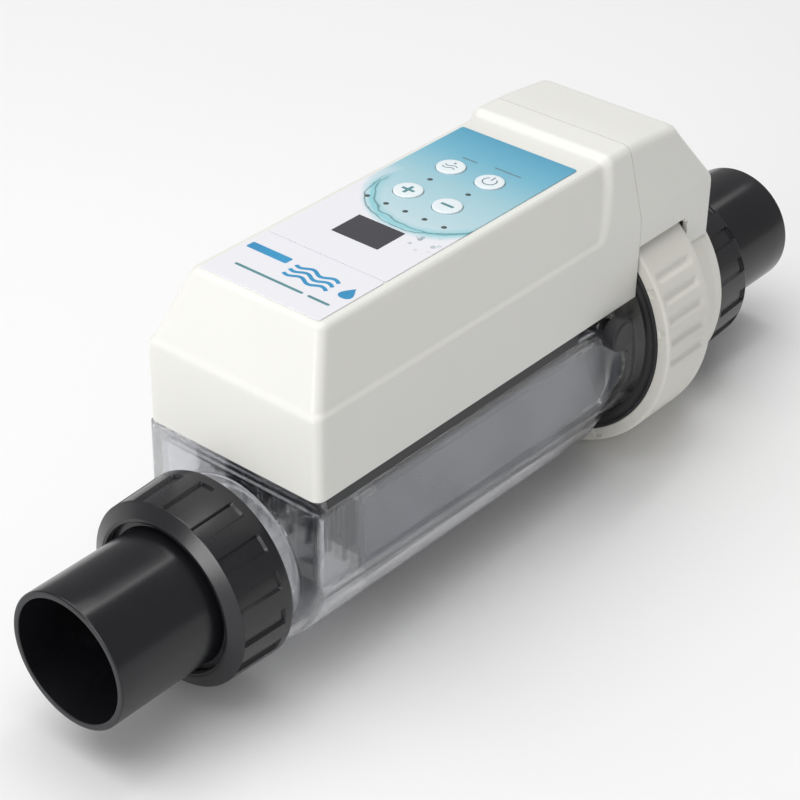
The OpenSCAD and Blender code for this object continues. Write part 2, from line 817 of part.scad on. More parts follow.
module control_board_screws() {
  color([0.7, 0.7, 0.72]) for (x = control_screw_x) both_sides() translate([x, control_screw_y, control_z - 2]) {
    cylinder(h = 2, r = 2.2);
    cylinder(h = 7, r = 1);
  }
}

// One key: cap above, holding rim below the cover
module key(x, side) {
  rim_z = top_z - skin - key_rim_gap;
  translate([x, side * key_y, 0]) {
    translate([0, 0, rim_z]) cylinder(h = top_z + label_t + key_proud - rim_z, r = key_r);
    translate([0, 0, rim_z - key_rim_t]) cylinder(h = key_rim_t, r = key_r + key_rim_w);
  }
}

module key_plus() {
  color([0.95, 0.96, 0.97]) key(key_x1, 1);
}

module key_minus() {
  color([0.95, 0.96, 0.97]) key(key_x1, -1);
}

module key_power() {
  color([0.95, 0.96, 0.97]) key(key_x2, -1);
}

module key_boost() {
  color([0.95, 0.96, 0.97]) key(key_x2, 1);
}

// ---- power electronics ----

module power_board() {
  color([0.12, 0.3, 0.16]) difference() {
    block([power_x[0], -power_half, power_z], [power_x[1], power_half, power_z + board_t]);
    for (x = stand_x) both_sides() translate([x, stand_y, power_z - 1]) cylinder(h = 4, r = 1.6);
  }
}

// Pillars between tray floor and power board, with their screw heads
module power_standoffs() {
  color([0.75, 0.72, 0.5]) for (x = stand_x) both_sides() translate([x, stand_y, 0]) {
    translate([0, 0, tray_z0 + tray_floor]) cylinder(h = power_z - tray_z0 - tray_floor, r = 3, $fn = 6);
    translate([0, 0, power_z - 1]) cylinder(h = board_t + 1.1, r = 1.5);
    translate([0, 0, power_z + board_t]) cylinder(h = 2, r = 2.8);
  }
}

// Finned rectifier heat sink
module heat_sink() {
  color([0.7, 0.71, 0.73]) {
    block([132, -28, power_z + board_t], [176, -2, power_z + board_t + 4]);
    for (i = [0 : 6])
      block([132, -28 + i * 4, power_z + board_t + 3], [176, -26.5 + i * 4, power_z + board_t + 26]);
  }
}

// Two relays that swap the plates' polarity
module polarity_relays() {
  color([0.1, 0.2, 0.45]) for (x = [182, 206])
    block([x, -26, power_z + board_t], [x + 20, -10, power_z + board_t + 16]);
}

module filter_capacitors() {
  color([0.12, 0.14, 0.3]) for (x = [142, 162, 182])
    translate([x, 16, power_z + board_t]) cylinder(h = 27, r = 8.5);
}

// Wound choke, lying flat
module supply_choke() {
  color([0.6, 0.35, 0.12]) translate([214, 12, power_z + board_t]) difference() {
    cylinder(h = 12, r = 14);
    translate([0, 0, -1]) cylinder(h = 14, r = 6);
  }
}

// Screw terminals for the two heavy leads
module terminal_block() {
  color([0.1, 0.35, 0.15]) block([238, -24, power_z + board_t], [247.9, 24, power_z + board_t + 14]);
}

// Flat cable between the two boards
module board_cable() {
  color([0.6, 0.6, 0.6]) {
    block([228, -24, power_z + board_t], [229, -12, control_z]);
    block([226, -25, power_z + board_t], [231, -11, power_z + board_t + 5]);
    block([226, -25, control_z - 5], [231, -11, control_z]);
  }
}

// ---- cable entry ----

// Places children with +Z pointing out of the hidden side
module at_gland(y) {
  translate([gland_x, y, gland_z]) rotate([-90, 0, 0]) children();
}

module cable_gland() {
  color([0.12, 0.12, 0.13]) difference() {
    union() {
      at_gland(body_half - 9) cylinder(h = 10, r = 7.9);
      at_gland(body_half + 0.05) cylinder(h = 5, r = 11, $fn = 6);
      at_gland(body_half + 5) cylinder(h = 7, r = 7.6);
    }
    at_gland(body_half - 10) cylinder(h = 30, r = cord_hole_r);
    at_gland(body_half + 7) cylinder(h = 30, r = 6.1);
  }
}

// Rubber sleeve that grips the supply cord
module gland_seal() {
  color([0.08, 0.08, 0.08]) at_gland(body_half + 7) difference() {
    cylinder(h = 6, r = 6);
    translate([0, 0, -1]) cylinder(h = 12, r = cord_hole_r);
  }
}

module gland_nut() {
  color([0.12, 0.12, 0.13]) at_gland(body_half + 5.2) difference() {
    union() {
      cylinder(h = 7, r = 10.4, $fn = 6);
      translate([0, 0, 7 - eps]) cylinder(h = 4.5, r1 = 8.8, r2 = 6);
    }
    translate([0, 0, -1]) cylinder(h = 9, r = 7.65);
    translate([0, 0, 7]) cylinder(h = 6, r = cord_hole_r);
  }
}

module gland_locknut() {
  color([0.12, 0.12, 0.13]) at_gland(body_half - skin - 4) difference() {
    cylinder(h = 3.9, r = 11, $fn = 6);
    translate([0, 0, -1]) cylinder(h = 6, r = 7.95);
  }
}

cell_housing();
inlet_oring();
collar_seal();
flow_sensor();
sensor_seal();
inlet_tailpiece();
inlet_union_nut();
outlet_tailpiece();
outlet_union_nut();
lock_ring();
cell_head();
head_oring();
outlet_oring();
head_shroud();
anode_plates();
cathode_plates();
plate_combs();
anode_stud();
cathode_stud();
stud_seals();
stud_nuts();
anode_lead();
cathode_lead();
base_tray();
tray_gasket();
control_cover();
rear_cap();
cover_screws();
cap_screws();
key_label();
lcd_window();
lcd_module();
status_leds();
control_board();
key_switches();
control_board_screws();
power_board();
power_standoffs();
heat_sink();
polarity_relays();
filter_capacitors();
supply_choke();
terminal_block();
board_cable();
cable_gland();
gland_nut();
gland_locknut();
gland_seal();
key_plus();
key_minus();
key_power();
key_boost();
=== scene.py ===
"""Looks of an inline salt chlorine generator, built round its CAD model.

Lengths in the helpers and pieces are in millimetres.
"""

import math

import bmesh
import bpy
from bpy.props import (
    FloatProperty,
    FloatVectorProperty,
    IntProperty,
    PointerProperty,
)
from mathutils import Matrix, Vector


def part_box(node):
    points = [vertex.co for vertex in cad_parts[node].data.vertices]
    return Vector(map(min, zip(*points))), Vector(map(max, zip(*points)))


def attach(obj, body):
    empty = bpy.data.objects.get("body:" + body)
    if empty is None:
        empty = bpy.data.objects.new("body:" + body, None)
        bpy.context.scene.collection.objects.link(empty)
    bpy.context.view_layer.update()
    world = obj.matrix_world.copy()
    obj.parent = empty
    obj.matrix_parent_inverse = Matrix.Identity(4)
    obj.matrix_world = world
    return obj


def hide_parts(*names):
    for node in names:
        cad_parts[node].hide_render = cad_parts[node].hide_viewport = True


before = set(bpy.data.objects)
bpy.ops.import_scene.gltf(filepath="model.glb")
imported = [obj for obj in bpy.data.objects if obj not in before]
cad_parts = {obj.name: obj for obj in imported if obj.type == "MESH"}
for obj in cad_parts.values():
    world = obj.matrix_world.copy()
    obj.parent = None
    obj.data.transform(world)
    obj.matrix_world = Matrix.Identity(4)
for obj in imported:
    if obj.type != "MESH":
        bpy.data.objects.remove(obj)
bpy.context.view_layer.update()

bl_info = {
    "name": "Salt chlorine generator",
    "version": (1, 0, 0),
    "blender": (4, 5, 0),
    "location": "3D View > Sidebar > Cell",
    "description": "Builds the clear cell, its unions, lock ring, covers and keypad",
    "category": "Object",
}

MM = 0.001
TAU = 2 * math.pi


def node_mm(name):
    """Lowest and highest corner of a CAD node, in millimetres."""
    low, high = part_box(name)
    return low / MM, high / MM


def centre_mm(name):
    """Middle of a CAD node, in millimetres."""
    low, high = node_mm(name)
    return (low + high) / 2


# Places taken from the CAD model
AXIS_Z = (node_mm("lock_ring")[0].z + node_mm("lock_ring")[1].z) / 2
RING_LOW, RING_HIGH = node_mm("lock_ring")
LABEL_LOW, LABEL_HIGH = node_mm("key_label")
END_X = node_mm("outlet_tailpiece")[1].x
KEYS = ("key_plus", "key_minus", "key_power", "key_boost")

# Key holes in the covers and the label
KEY_HOLE_R = 6.7
# Closed outlines that meet the axis stop this far from it
AXIS_GAP = 0.02


# ---- properties ----


class CellLooks(bpy.types.PropertyGroup):
    """Colours that a user would change."""

    white: FloatVectorProperty(
        name="Cover white", description="Colour of the covers", subtype="COLOR", size=3,
        min=0, max=1, default=(0.80, 0.795, 0.755),
    )
    ring_white: FloatVectorProperty(
        name="Ring white", description="Colour of the lock ring and head", subtype="COLOR", size=3,
        min=0, max=1, default=(0.75, 0.735, 0.675),
    )
    pipe_black: FloatVectorProperty(
        name="Pipe black", description="Colour of the unions and spigots", subtype="COLOR", size=3,
        min=0, max=1, default=(0.009, 0.009, 0.011),
    )
    clear_tint: FloatVectorProperty(
        name="Clear tint", description="Tint of the clear housing", subtype="COLOR", size=3,
        min=0, max=1, default=(0.86, 0.87, 0.91),
    )
    label_far: FloatVectorProperty(
        name="Label blue", description="Blue at the far end of the label", subtype="COLOR", size=3,
        min=0, max=1, default=(0.085, 0.345, 0.51),
    )
    label_near: FloatVectorProperty(
        name="Label pale", description="Pale colour at the near end of the label", subtype="COLOR", size=3,
        min=0, max=1, default=(0.80, 0.80, 0.84),
    )
    splash: FloatVectorProperty(
        name="Splash teal", description="Colour of the splash and the marks", subtype="COLOR", size=3,
        min=0, max=1, default=(0.14, 0.38, 0.42),
    )


class CellSizes(bpy.types.PropertyGroup):
    swage: FloatProperty(
        name="Step depth", description="Depth of the step round the keypad panel", unit="LENGTH",
        default=0.0013, min=0.0, max=0.003,
    )
    cover_wall: FloatProperty(
        name="Cover wall", description="Wall of the covers", unit="LENGTH", default=0.0025, min=0.001, max=0.004,
    )
    ring_groove: FloatProperty(
        name="Ring groove", description="Depth of the grooves in the lock ring", unit="LENGTH",
        default=0.0014, min=0.0, max=0.003,
    )
    nut_groove: FloatProperty(
        name="Nut groove", description="Depth of the recesses in the union nuts", unit="LENGTH",
        default=0.0014, min=0.0, max=0.003,
    )
    turns: IntProperty(
        name="Lathe steps", description="Steps round a turned piece", default=160, min=32, max=720,
    )


def looks():
    return bpy.context.scene.cell_looks


def sizes():
    return bpy.context.scene.cell_sizes


# ---- mesh helpers ----


def add_piece(name, verts, faces, body, slot, materials, replaces=(), sharp=32.0, marks=None):
    """Makes a mesh piece from millimetre points and hangs it on its body."""
    mesh = bpy.data.meshes.new(name)
    mesh.from_pydata([(x * MM, y * MM, z * MM) for x, y, z in verts], [], faces)
    for material in materials:
        mesh.materials.append(material)
    if marks:
        for polygon, mark in zip(mesh.polygons, marks):
            polygon.material_index = mark
    mesh.validate()
    bm = bmesh.new()
    bm.from_mesh(mesh)
    bmesh.ops.recalc_face_normals(bm, faces=bm.faces)
    bm.to_mesh(mesh)
    bm.free()
    return new_piece(name, mesh, body, replaces, sharp)


def new_piece(name, mesh, body, replaces, sharp):
    """Object for a finished mesh, hung on its body."""
    piece = bpy.data.objects.new(name, mesh)
    bpy.context.scene.collection.objects.link(piece)
    finish_piece(piece, body, replaces, sharp)
    return piece


def finish_piece(piece, body, replaces=(), sharp=32.0):
    mesh = piece.data
    mesh.polygons.foreach_set("use_smooth", [True] * len(mesh.polygons))
    mesh.set_sharp_from_angle(angle=math.radians(sharp))
    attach(piece, body)
    if replaces:
        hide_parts(*replaces)


def apply_modifier(piece, kind, **values):
    """Adds one modifier and keeps its result as the mesh."""
    modifier = piece.modifiers.new(kind.title(), kind)
    for key, value in values.items():
        setattr(modifier, key, value)
    depsgraph = bpy.context.evaluated_depsgraph_get()
    depsgraph.update()
    result = bpy.data.meshes.new_from_object(piece.evaluated_get(depsgraph))
    piece.modifiers.clear()
    old = piece.data
    piece.data = result
    bpy.data.meshes.remove(old)


def fillet(corners, steps=5):
    """Closed outline of (x, r, radius) corners with each corner rounded."""
    points = []
    count = len(corners)
    for i, (x, r, radius) in enumerate(corners):
        here = Vector((x, r))
        before = Vector(corners[i - 1][:2]) - here
        after = Vector(corners[(i + 1) % count][:2]) - here
        if radius <= 0 or before.length < 1e-6 or after.length < 1e-6:
            points.append((x, r))
            continue
        angle = before.angle(after)
        reach = min(radius / math.tan(angle / 2), before.length * 0.49, after.length * 0.49)
        start, end = here + before.normalized() * reach, here + after.normalized() * reach
        for k in range(steps + 1):
            t = k / steps
            p = start * (1 - t) ** 2 + here * 2 * t * (1 - t) + end * t ** 2
            points.append((p.x, p.y))
    return points


def divide(points, step):
    """Adds points so that no length of a closed outline is longer than step."""
    result = []
    for i, a in enumerate(points):
        b = points[(i + 1) % len(points)]
        parts = max(1, math.ceil(math.dist(a, b) / step))
        result += [(a[0] + (b[0] - a[0]) * k / parts, a[1] + (b[1] - a[1]) * k / parts) for k in range(parts)]
    return result


def lathe(profile, axis_z, steps, shape=None):
    """Turns a closed (x, r) outline round the X direction; shape changes points by angle."""
    verts, faces = [], []
    count = len(profile)
    for i in range(steps):
        a = TAU * i / steps
        for x, r in profile:
            px, pr = shape(a, x, r) if shape else (x, r)
            verts.append((px, pr * math.cos(a), axis_z + pr * math.sin(a)))
    for i in range(steps):
        j = (i + 1) % steps
        for k in range(count):
            m = (k + 1) % count
            faces.append((i * count + k, i * count + m, j * count + m, j * count + k))
    return verts, faces


def soft_step(low, high, value):
    t = min(1.0, max(0.0, (value - low) / (high - low)))
    return t * t * (3 - 2 * t)


def soft_min(values, width):
    """Smallest value, with the change from one to the next rounded."""
    low = min(values)
    return low - width * math.log(sum(math.exp((low - v) / width) for v in values))


def curve_mesh(curve):
    """Turns a curve into a mesh and removes the curve."""
    holder = bpy.data.objects.new(curve.name, curve)
    bpy.context.scene.collection.objects.link(holder)
    bpy.context.view_layer.update()
    mesh = bpy.data.meshes.new_from_object(holder.evaluated_get(bpy.context.evaluated_depsgraph_get()))
    bpy.data.objects.remove(holder)
    bpy.data.curves.remove(curve)
    return mesh


def rounded_slab(name, outlines, z0, z1, body, material, replaces=(), bevel=0.12):
    """Flat sheet from closed outlines; inner ones are holes. Edges are slightly rounded."""
    curve = bpy.data.curves.new(name + "_outline", "CURVE")
    curve.dimensions = "2D"
    curve.fill_mode = "BOTH"
    for outline in outlines:
        spline = curve.splines.new("POLY")
        spline.points.add(len(outline) - 1)
        for point, (x, y) in zip(spline.points, outline):
            point.co = (x * MM, y * MM, 0, 1)
        spline.use_cyclic_u = True
    curve.extrude = (z1 - z0) / 2 * MM - bevel * MM
    curve.bevel_depth = bevel * MM
    curve.bevel_resolution = 1
    curve.offset = -bevel * MM
    mesh = curve_mesh(curve)
    mesh.transform(Matrix.Translation((0, 0, (z0 + z1) / 2 * MM)))
    bm = bmesh.new()
    bm.from_mesh(mesh)
    bmesh.ops.remove_doubles(bm, verts=bm.verts, dist=1e-6)
    bmesh.ops.recalc_face_normals(bm, faces=bm.faces)
    bm.to_mesh(mesh)
    bm.free()
    mesh.materials.clear()
    mesh.materials.append(material)
    piece = new_piece(name, mesh, body, replaces, 40)
    for polygon in mesh.polygons:
        polygon.use_smooth = abs(polygon.normal.z) < 0.999
    return piece


def circle(x, y, r, count=32):
    return [(x + r * math.cos(TAU * i / count), y + r * math.sin(TAU * i / count)) for i in range(count)]


def round_rect(x0, y0, x1, y1, r, count=6):
    points = []
    for cx, cy, start in ((x1 - r, y1 - r, 0), (x0 + r, y1 - r, 90), (x0 + r, y0 + r, 180), (x1 - r, y0 + r, 270)):
        for k in range(count + 1):
            a = math.radians(start + 90 * k / count)
            points.append((cx + r * math.cos(a), cy + r * math.sin(a)))
    return points


def stroke(points, width):
    """Outline of a line of even width through the points, with square ends."""
    left, right = [], []
    for i, p in enumerate(points):
        a = Vector(points[max(0, i - 1)])
        b = Vector(points[min(len(points) - 1, i + 1)])
        side = (b - a).normalized().orthogonal() * width / 2
        left.append((p[0] + side.x, p[1] + side.y))
        right.append((p[0] - side.x, p[1] - side.y))
    return left + right[::-1]


def tube(name, points, radius, body, material, replaces=(), sides=20):
    """Round wire on a smooth curve through the points."""
    curve = bpy.data.curves.new(name + "_line", "CURVE")
    curve.dimensions = "3D"
    curve.resolution_u = 12
    spline = curve.splines.new("BEZIER")
    spline.bezier_points.add(len(points) - 1)
    for point, place in zip(spline.bezier_points, points):
        point.co = Vector(place) * MM
        point.handle_left_type = point.handle_right_type = "AUTO"
    curve.bevel_depth = radius * MM
    curve.bevel_resolution = sides // 4
    curve.use_fill_caps = True
    mesh = curve_mesh(curve)
    mesh.materials.clear()
    mesh.materials.append(material)
    return new_piece(name, mesh, body, replaces, 50)


# ---- material helpers ----


def math_node(tree, operation, a, b=None, c=None, clamp=False):
    """One Math node; numbers are set on it and sockets are linked."""
    node = tree.nodes.new("ShaderNodeMath")
    node.operation = operation
    node.use_clamp = clamp
    for i, value in enumerate((a, b, c)):
        if value is None:
            continue
        if isinstance(value, (int, float)):
            node.inputs[i].default_value = value
        else:
            tree.links.new(value, node.inputs[i])
    return node.outputs[0]


def grain_group():
    """Shared node group: slow tone drift, fine roughness change and a fine grain height."""
    found = bpy.data.node_groups.get("Moulded grain")
    if found:
        return found
    group = bpy.data.node_groups.new("Moulded grain", "ShaderNodeTree")
    socket = group.interface.new_socket
    for name, kind, value in (
        ("Colour", "NodeSocketColor", (0.8, 0.8, 0.8, 1)),
        ("Second colour", "NodeSocketColor", (0.7, 0.7, 0.7, 1)),
        ("Drift scale", "NodeSocketFloat", 12.0),
        ("Grain scale", "NodeSocketFloat", 1500.0),
        ("Stretch", "NodeSocketVector", (1.0, 1.0, 1.0)),
        ("Roughness", "NodeSocketFloat", 0.4),
        ("Spread", "NodeSocketFloat", 0.1),
    ):
        made = socket(name=name, in_out="INPUT", socket_type=kind)
        made.default_value = value
    for name, kind in (
        ("Colour", "NodeSocketColor"), ("Roughness", "NodeSocketFloat"), ("Height", "NodeSocketFloat"),
    ):
        socket(name=name, in_out="OUTPUT", socket_type=kind)
    nodes, link = group.nodes, group.links.new
    inp, out = nodes.new("NodeGroupInput"), nodes.new("NodeGroupOutput")
    place = nodes.new("ShaderNodeTexCoord")
    stretch = nodes.new("ShaderNodeVectorMath")
    stretch.operation = "MULTIPLY"
    link(place.outputs["Object"], stretch.inputs[0])
    link(inp.outputs["Stretch"], stretch.inputs[1])
    drift, grain = nodes.new("ShaderNodeTexNoise"), nodes.new("ShaderNodeTexNoise")
    drift.inputs["Detail"].default_value = 4
    grain.inputs["Detail"].default_value = 3
    link(stretch.outputs[0], drift.inputs["Vector"])
    link(stretch.outputs[0], grain.inputs["Vector"])
    link(inp.outputs["Drift scale"], drift.inputs["Scale"])
    link(inp.outputs["Grain scale"], grain.inputs["Scale"])
    ramp = nodes.new("ShaderNodeMapRange")
    ramp.inputs["From Min"].default_value = 0.35
    ramp.inputs["From Max"].default_value = 0.65
    link(drift.outputs["Fac"], ramp.inputs["Value"])
    mix = nodes.new("ShaderNodeMix")
    mix.data_type = "RGBA"
    link(ramp.outputs["Result"], mix.inputs["Factor"])
    link(inp.outputs["Colour"], mix.inputs["A"])
    link(inp.outputs["Second colour"], mix.inputs["B"])
    link(mix.outputs["Result"], out.inputs["Colour"])
    both = math_node(group, "ADD", drift.outputs["Fac"], grain.outputs["Fac"])
    centre = math_node(group, "SUBTRACT", math_node(group, "MULTIPLY", both, 0.5), 0.5)
    rough = math_node(group, "MULTIPLY_ADD", centre, inp.outputs["Spread"], inp.outputs["Roughness"])
    link(rough, out.inputs["Roughness"])
    link(grain.outputs["Fac"], out.inputs["Height"])
    return group


def new_material(name):
    """Empty node material with its Principled shader."""
    material = bpy.data.materials.new(name)
    material.use_nodes = True
    return material, material.node_tree, material.node_tree.nodes["Principled BSDF"]


def finish_material(
    name, colour, second, roughness, spread=0.15, drift=14.0, grain=1400.0, stretch=(1, 1, 1), bump=0.15,
    depth=0.00004, metallic=0.0, coat=0.0, specular=0.5,
):
    """Material that takes colour, roughness and fine height from the shared grain group."""
    found = bpy.data.materials.get(name)
    if found:
        return found
    material, tree, shader = new_material(name)
    group = tree.nodes.new("ShaderNodeGroup")
    group.node_tree = grain_group()
    group.inputs["Colour"].default_value = (*colour, 1)
    group.inputs["Second colour"].default_value = (*second, 1)
    group.inputs["Drift scale"].default_value = drift
    group.inputs["Grain scale"].default_value = grain
    group.inputs["Stretch"].default_value = stretch
    group.inputs["Roughness"].default_value = roughness
    group.inputs["Spread"].default_value = spread
    lift = tree.nodes.new("ShaderNodeBump")
    lift.inputs["Strength"].default_value = bump
    lift.inputs["Distance"].default_value = depth
    tree.links.new(group.outputs["Colour"], shader.inputs["Base Color"])
    tree.links.new(group.outputs["Roughness"], shader.inputs["Roughness"])
    tree.links.new(group.outputs["Height"], lift.inputs["Height"])
    tree.links.new(lift.outputs["Normal"], shader.inputs["Normal"])
    shader.inputs["Metallic"].default_value = metallic
    shader.inputs["Coat Weight"].default_value = coat
    shader.inputs["Coat Roughness"].default_value = 0.12
    shader.inputs["Specular IOR Level"].default_value = specular
    return material


def shade(colour, factor):
    return tuple(min(1.0, c * factor) for c in colour)


def white_plastic():
    c = tuple(looks().white)
    return finish_material("cover white", c, shade(c, 0.965), 0.36, 0.10, 9.0, 1700.0, bump=0.22, coat=0.06)


def ring_plastic():
    c = tuple(looks().ring_white)
    return finish_material("ring white", c, shade(c, 0.94), 0.40, 0.14, 16.0, 1500.0, bump=0.28, coat=0.05)


def pipe_plastic():
    c = tuple(looks().pipe_black)
    return finish_material("pipe black", c, shade(c, 1.4), 0.20, 0.10, 22.0, 900.0, bump=0.12, depth=0.00004,
        specular=0.38)


def nut_plastic():
    c = tuple(looks().pipe_black)
    return finish_material("nut black", c, shade(c, 1.5), 0.26, 0.12, 30.0, 1100.0, bump=0.2)


def tray_plastic():
    return finish_material(
        "tray black", (0.02, 0.02, 0.023), (0.03, 0.03, 0.033), 0.5, 0.14, 20.0, 1300.0, bump=0.3)


def seal_rubber():
    return finish_material(
        "seal rubber", (0.016, 0.016, 0.018), (0.028, 0.027, 0.027), 0.62, 0.2, 40.0, 1900.0, bump=0.4)


def titanium_coat():
    return finish_material(
        "electrode coating", (0.30, 0.31, 0.34), (0.22, 0.23, 0.26), 0.5, 0.2, 30.0, 900.0, bump=0.25, metallic=0.45)


def bare_titanium():
    return finish_material(
        "bare titanium", (0.55, 0.55, 0.57), (0.45, 0.45, 0.47), 0.32, 0.16, 60.0, 1500.0, (0.15, 1, 1), 0.2,
        metallic=1.0)


def zinc_steel():
    return finish_material(
        "zinc steel", (0.66, 0.67, 0.70), (0.55, 0.56, 0.60), 0.28, 0.2, 120.0, 1600.0, (1, 1, 0.2), 0.2,
        metallic=1.0)


def brass_metal():
    return finish_material(
        "brass", (0.74, 0.54, 0.24), (0.62, 0.43, 0.18), 0.3, 0.16, 120.0, 1500.0, (1, 1, 0.2), 0.2, metallic=1.0)


def sink_metal():
    return finish_material(
        "sink aluminium", (0.72, 0.73, 0.75), (0.62, 0.63, 0.66), 0.36, 0.16, 50.0, 1400.0, (0.08, 1, 1), 0.3,
        metallic=1.0)


def clear_plastic():
    """Clear moulding: see-through, with a slow change of haze."""
    found = bpy.data.materials.get("clear housing")
    if found:
        return found
    c = tuple(looks().clear_tint)
    material = finish_material("clear housing", c, shade(c, 0.96), 0.06, 0.06, 10.0, 260.0, bump=0.05, depth=0.0001)
    shader = material.node_tree.nodes["Principled BSDF"]
    shader.inputs["Transmission Weight"].default_value = 1.0
    shader.inputs["IOR"].default_value = 1.42
    shader.inputs["Alpha"].default_value = 0.62
    return material


def masked_material(name, base, other, roughness, mask_nodes, coat=0.0, metallic=0.0, height=0.0):
    """Material with a second colour where a mask shows; mask_nodes builds the mask in the tree."""
    found = bpy.data.materials.get(name)
    if found:
        return found
    material = finish_material(name, base, shade(base, 0.9), roughness, 0.14, 25.0, 1200.0, bump=0.2, coat=coat,
                               metallic=metallic)
    tree = material.node_tree
    shader = tree.nodes["Principled BSDF"]
    mask = mask_nodes(tree)
    mix = tree.nodes.new("ShaderNodeMix")
    mix.data_type = "RGBA"
    tree.links.new(mask, mix.inputs["Factor"])
    tree.links.new(shader.inputs["Base Color"].links[0].from_socket, mix.inputs["A"])
    mix.inputs["B"].default_value = (*other, 1)
    tree.links.new(mix.outputs["Result"], shader.inputs["Base Color"])
    if height:
        lift = tree.nodes.new("ShaderNodeBump")
        lift.inputs["Distance"].default_value = height
        tree.links.new(mask, lift.inputs["Height"])
        tree.links.new(tree.nodes["Bump"].outputs["Normal"], lift.inputs["Normal"])
        tree.links.new(lift.outputs["Normal"], shader.inputs["Normal"])
    return material


def distance_node(tree, dx, dy):
    """Length of the step from a point, given across both axes."""
    return math_node(tree, "SQRT", math_node(
        tree, "ADD", math_node(tree, "POWER", dx, 2), math_node(tree, "POWER", dy, 2)))


def place_axes(tree):
    """X, Y and Z in the piece's own space, in metres."""
    split = tree.nodes.new("ShaderNodeSeparateXYZ")
    tree.links.new(tree.nodes.new("ShaderNodeTexCoord").outputs["Object"], split.inputs[0])
    return split.outputs


def trace_mask(tree):
    """Copper tracks of a circuit board: edges of square cells."""
    cells = tree.nodes.new("ShaderNodeTexVoronoi")
    cells.feature = "DISTANCE_TO_EDGE"
    cells.distance = "EUCLIDEAN"
    cells.inputs["Scale"].default_value = 190
    cells.inputs["Randomness"].default_value = 0.55
    tree.links.new(tree.nodes.new("ShaderNodeTexCoord").outputs["Object"], cells.inputs["Vector"])
    return math_node(tree, "LESS_THAN", cells.outputs["Distance"], 0.12)


def stripe_mask(axis, scale, share):
    """Mask of even stripes across one axis."""

    def build(tree):
        value = math_node(tree, "MULTIPLY", place_axes(tree)[axis], scale)
        return math_node(tree, "LESS_THAN", math_node(tree, "FRACT", value), share)

    return build


def winding_mask(tree):
    """Turns of wire round a ring core."""
    x, y, z = place_axes(tree)
    low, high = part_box("supply_choke")
    dx = math_node(tree, "SUBTRACT", x, (low.x + high.x) / 2)
    dy = math_node(tree, "SUBTRACT", y, (low.y + high.y) / 2)
    turn = math_node(tree, "MULTIPLY", math_node(tree, "ARCTAN2", dy, dx), 44 / TAU)
    return math_node(tree, "LESS_THAN", math_node(tree, "FRACT", turn), 0.28)


def board_green():
    return masked_material(
        "board green", (0.03, 0.17, 0.07), (0.10, 0.33, 0.13), 0.4, trace_mask, 0.2, height=0.00004)


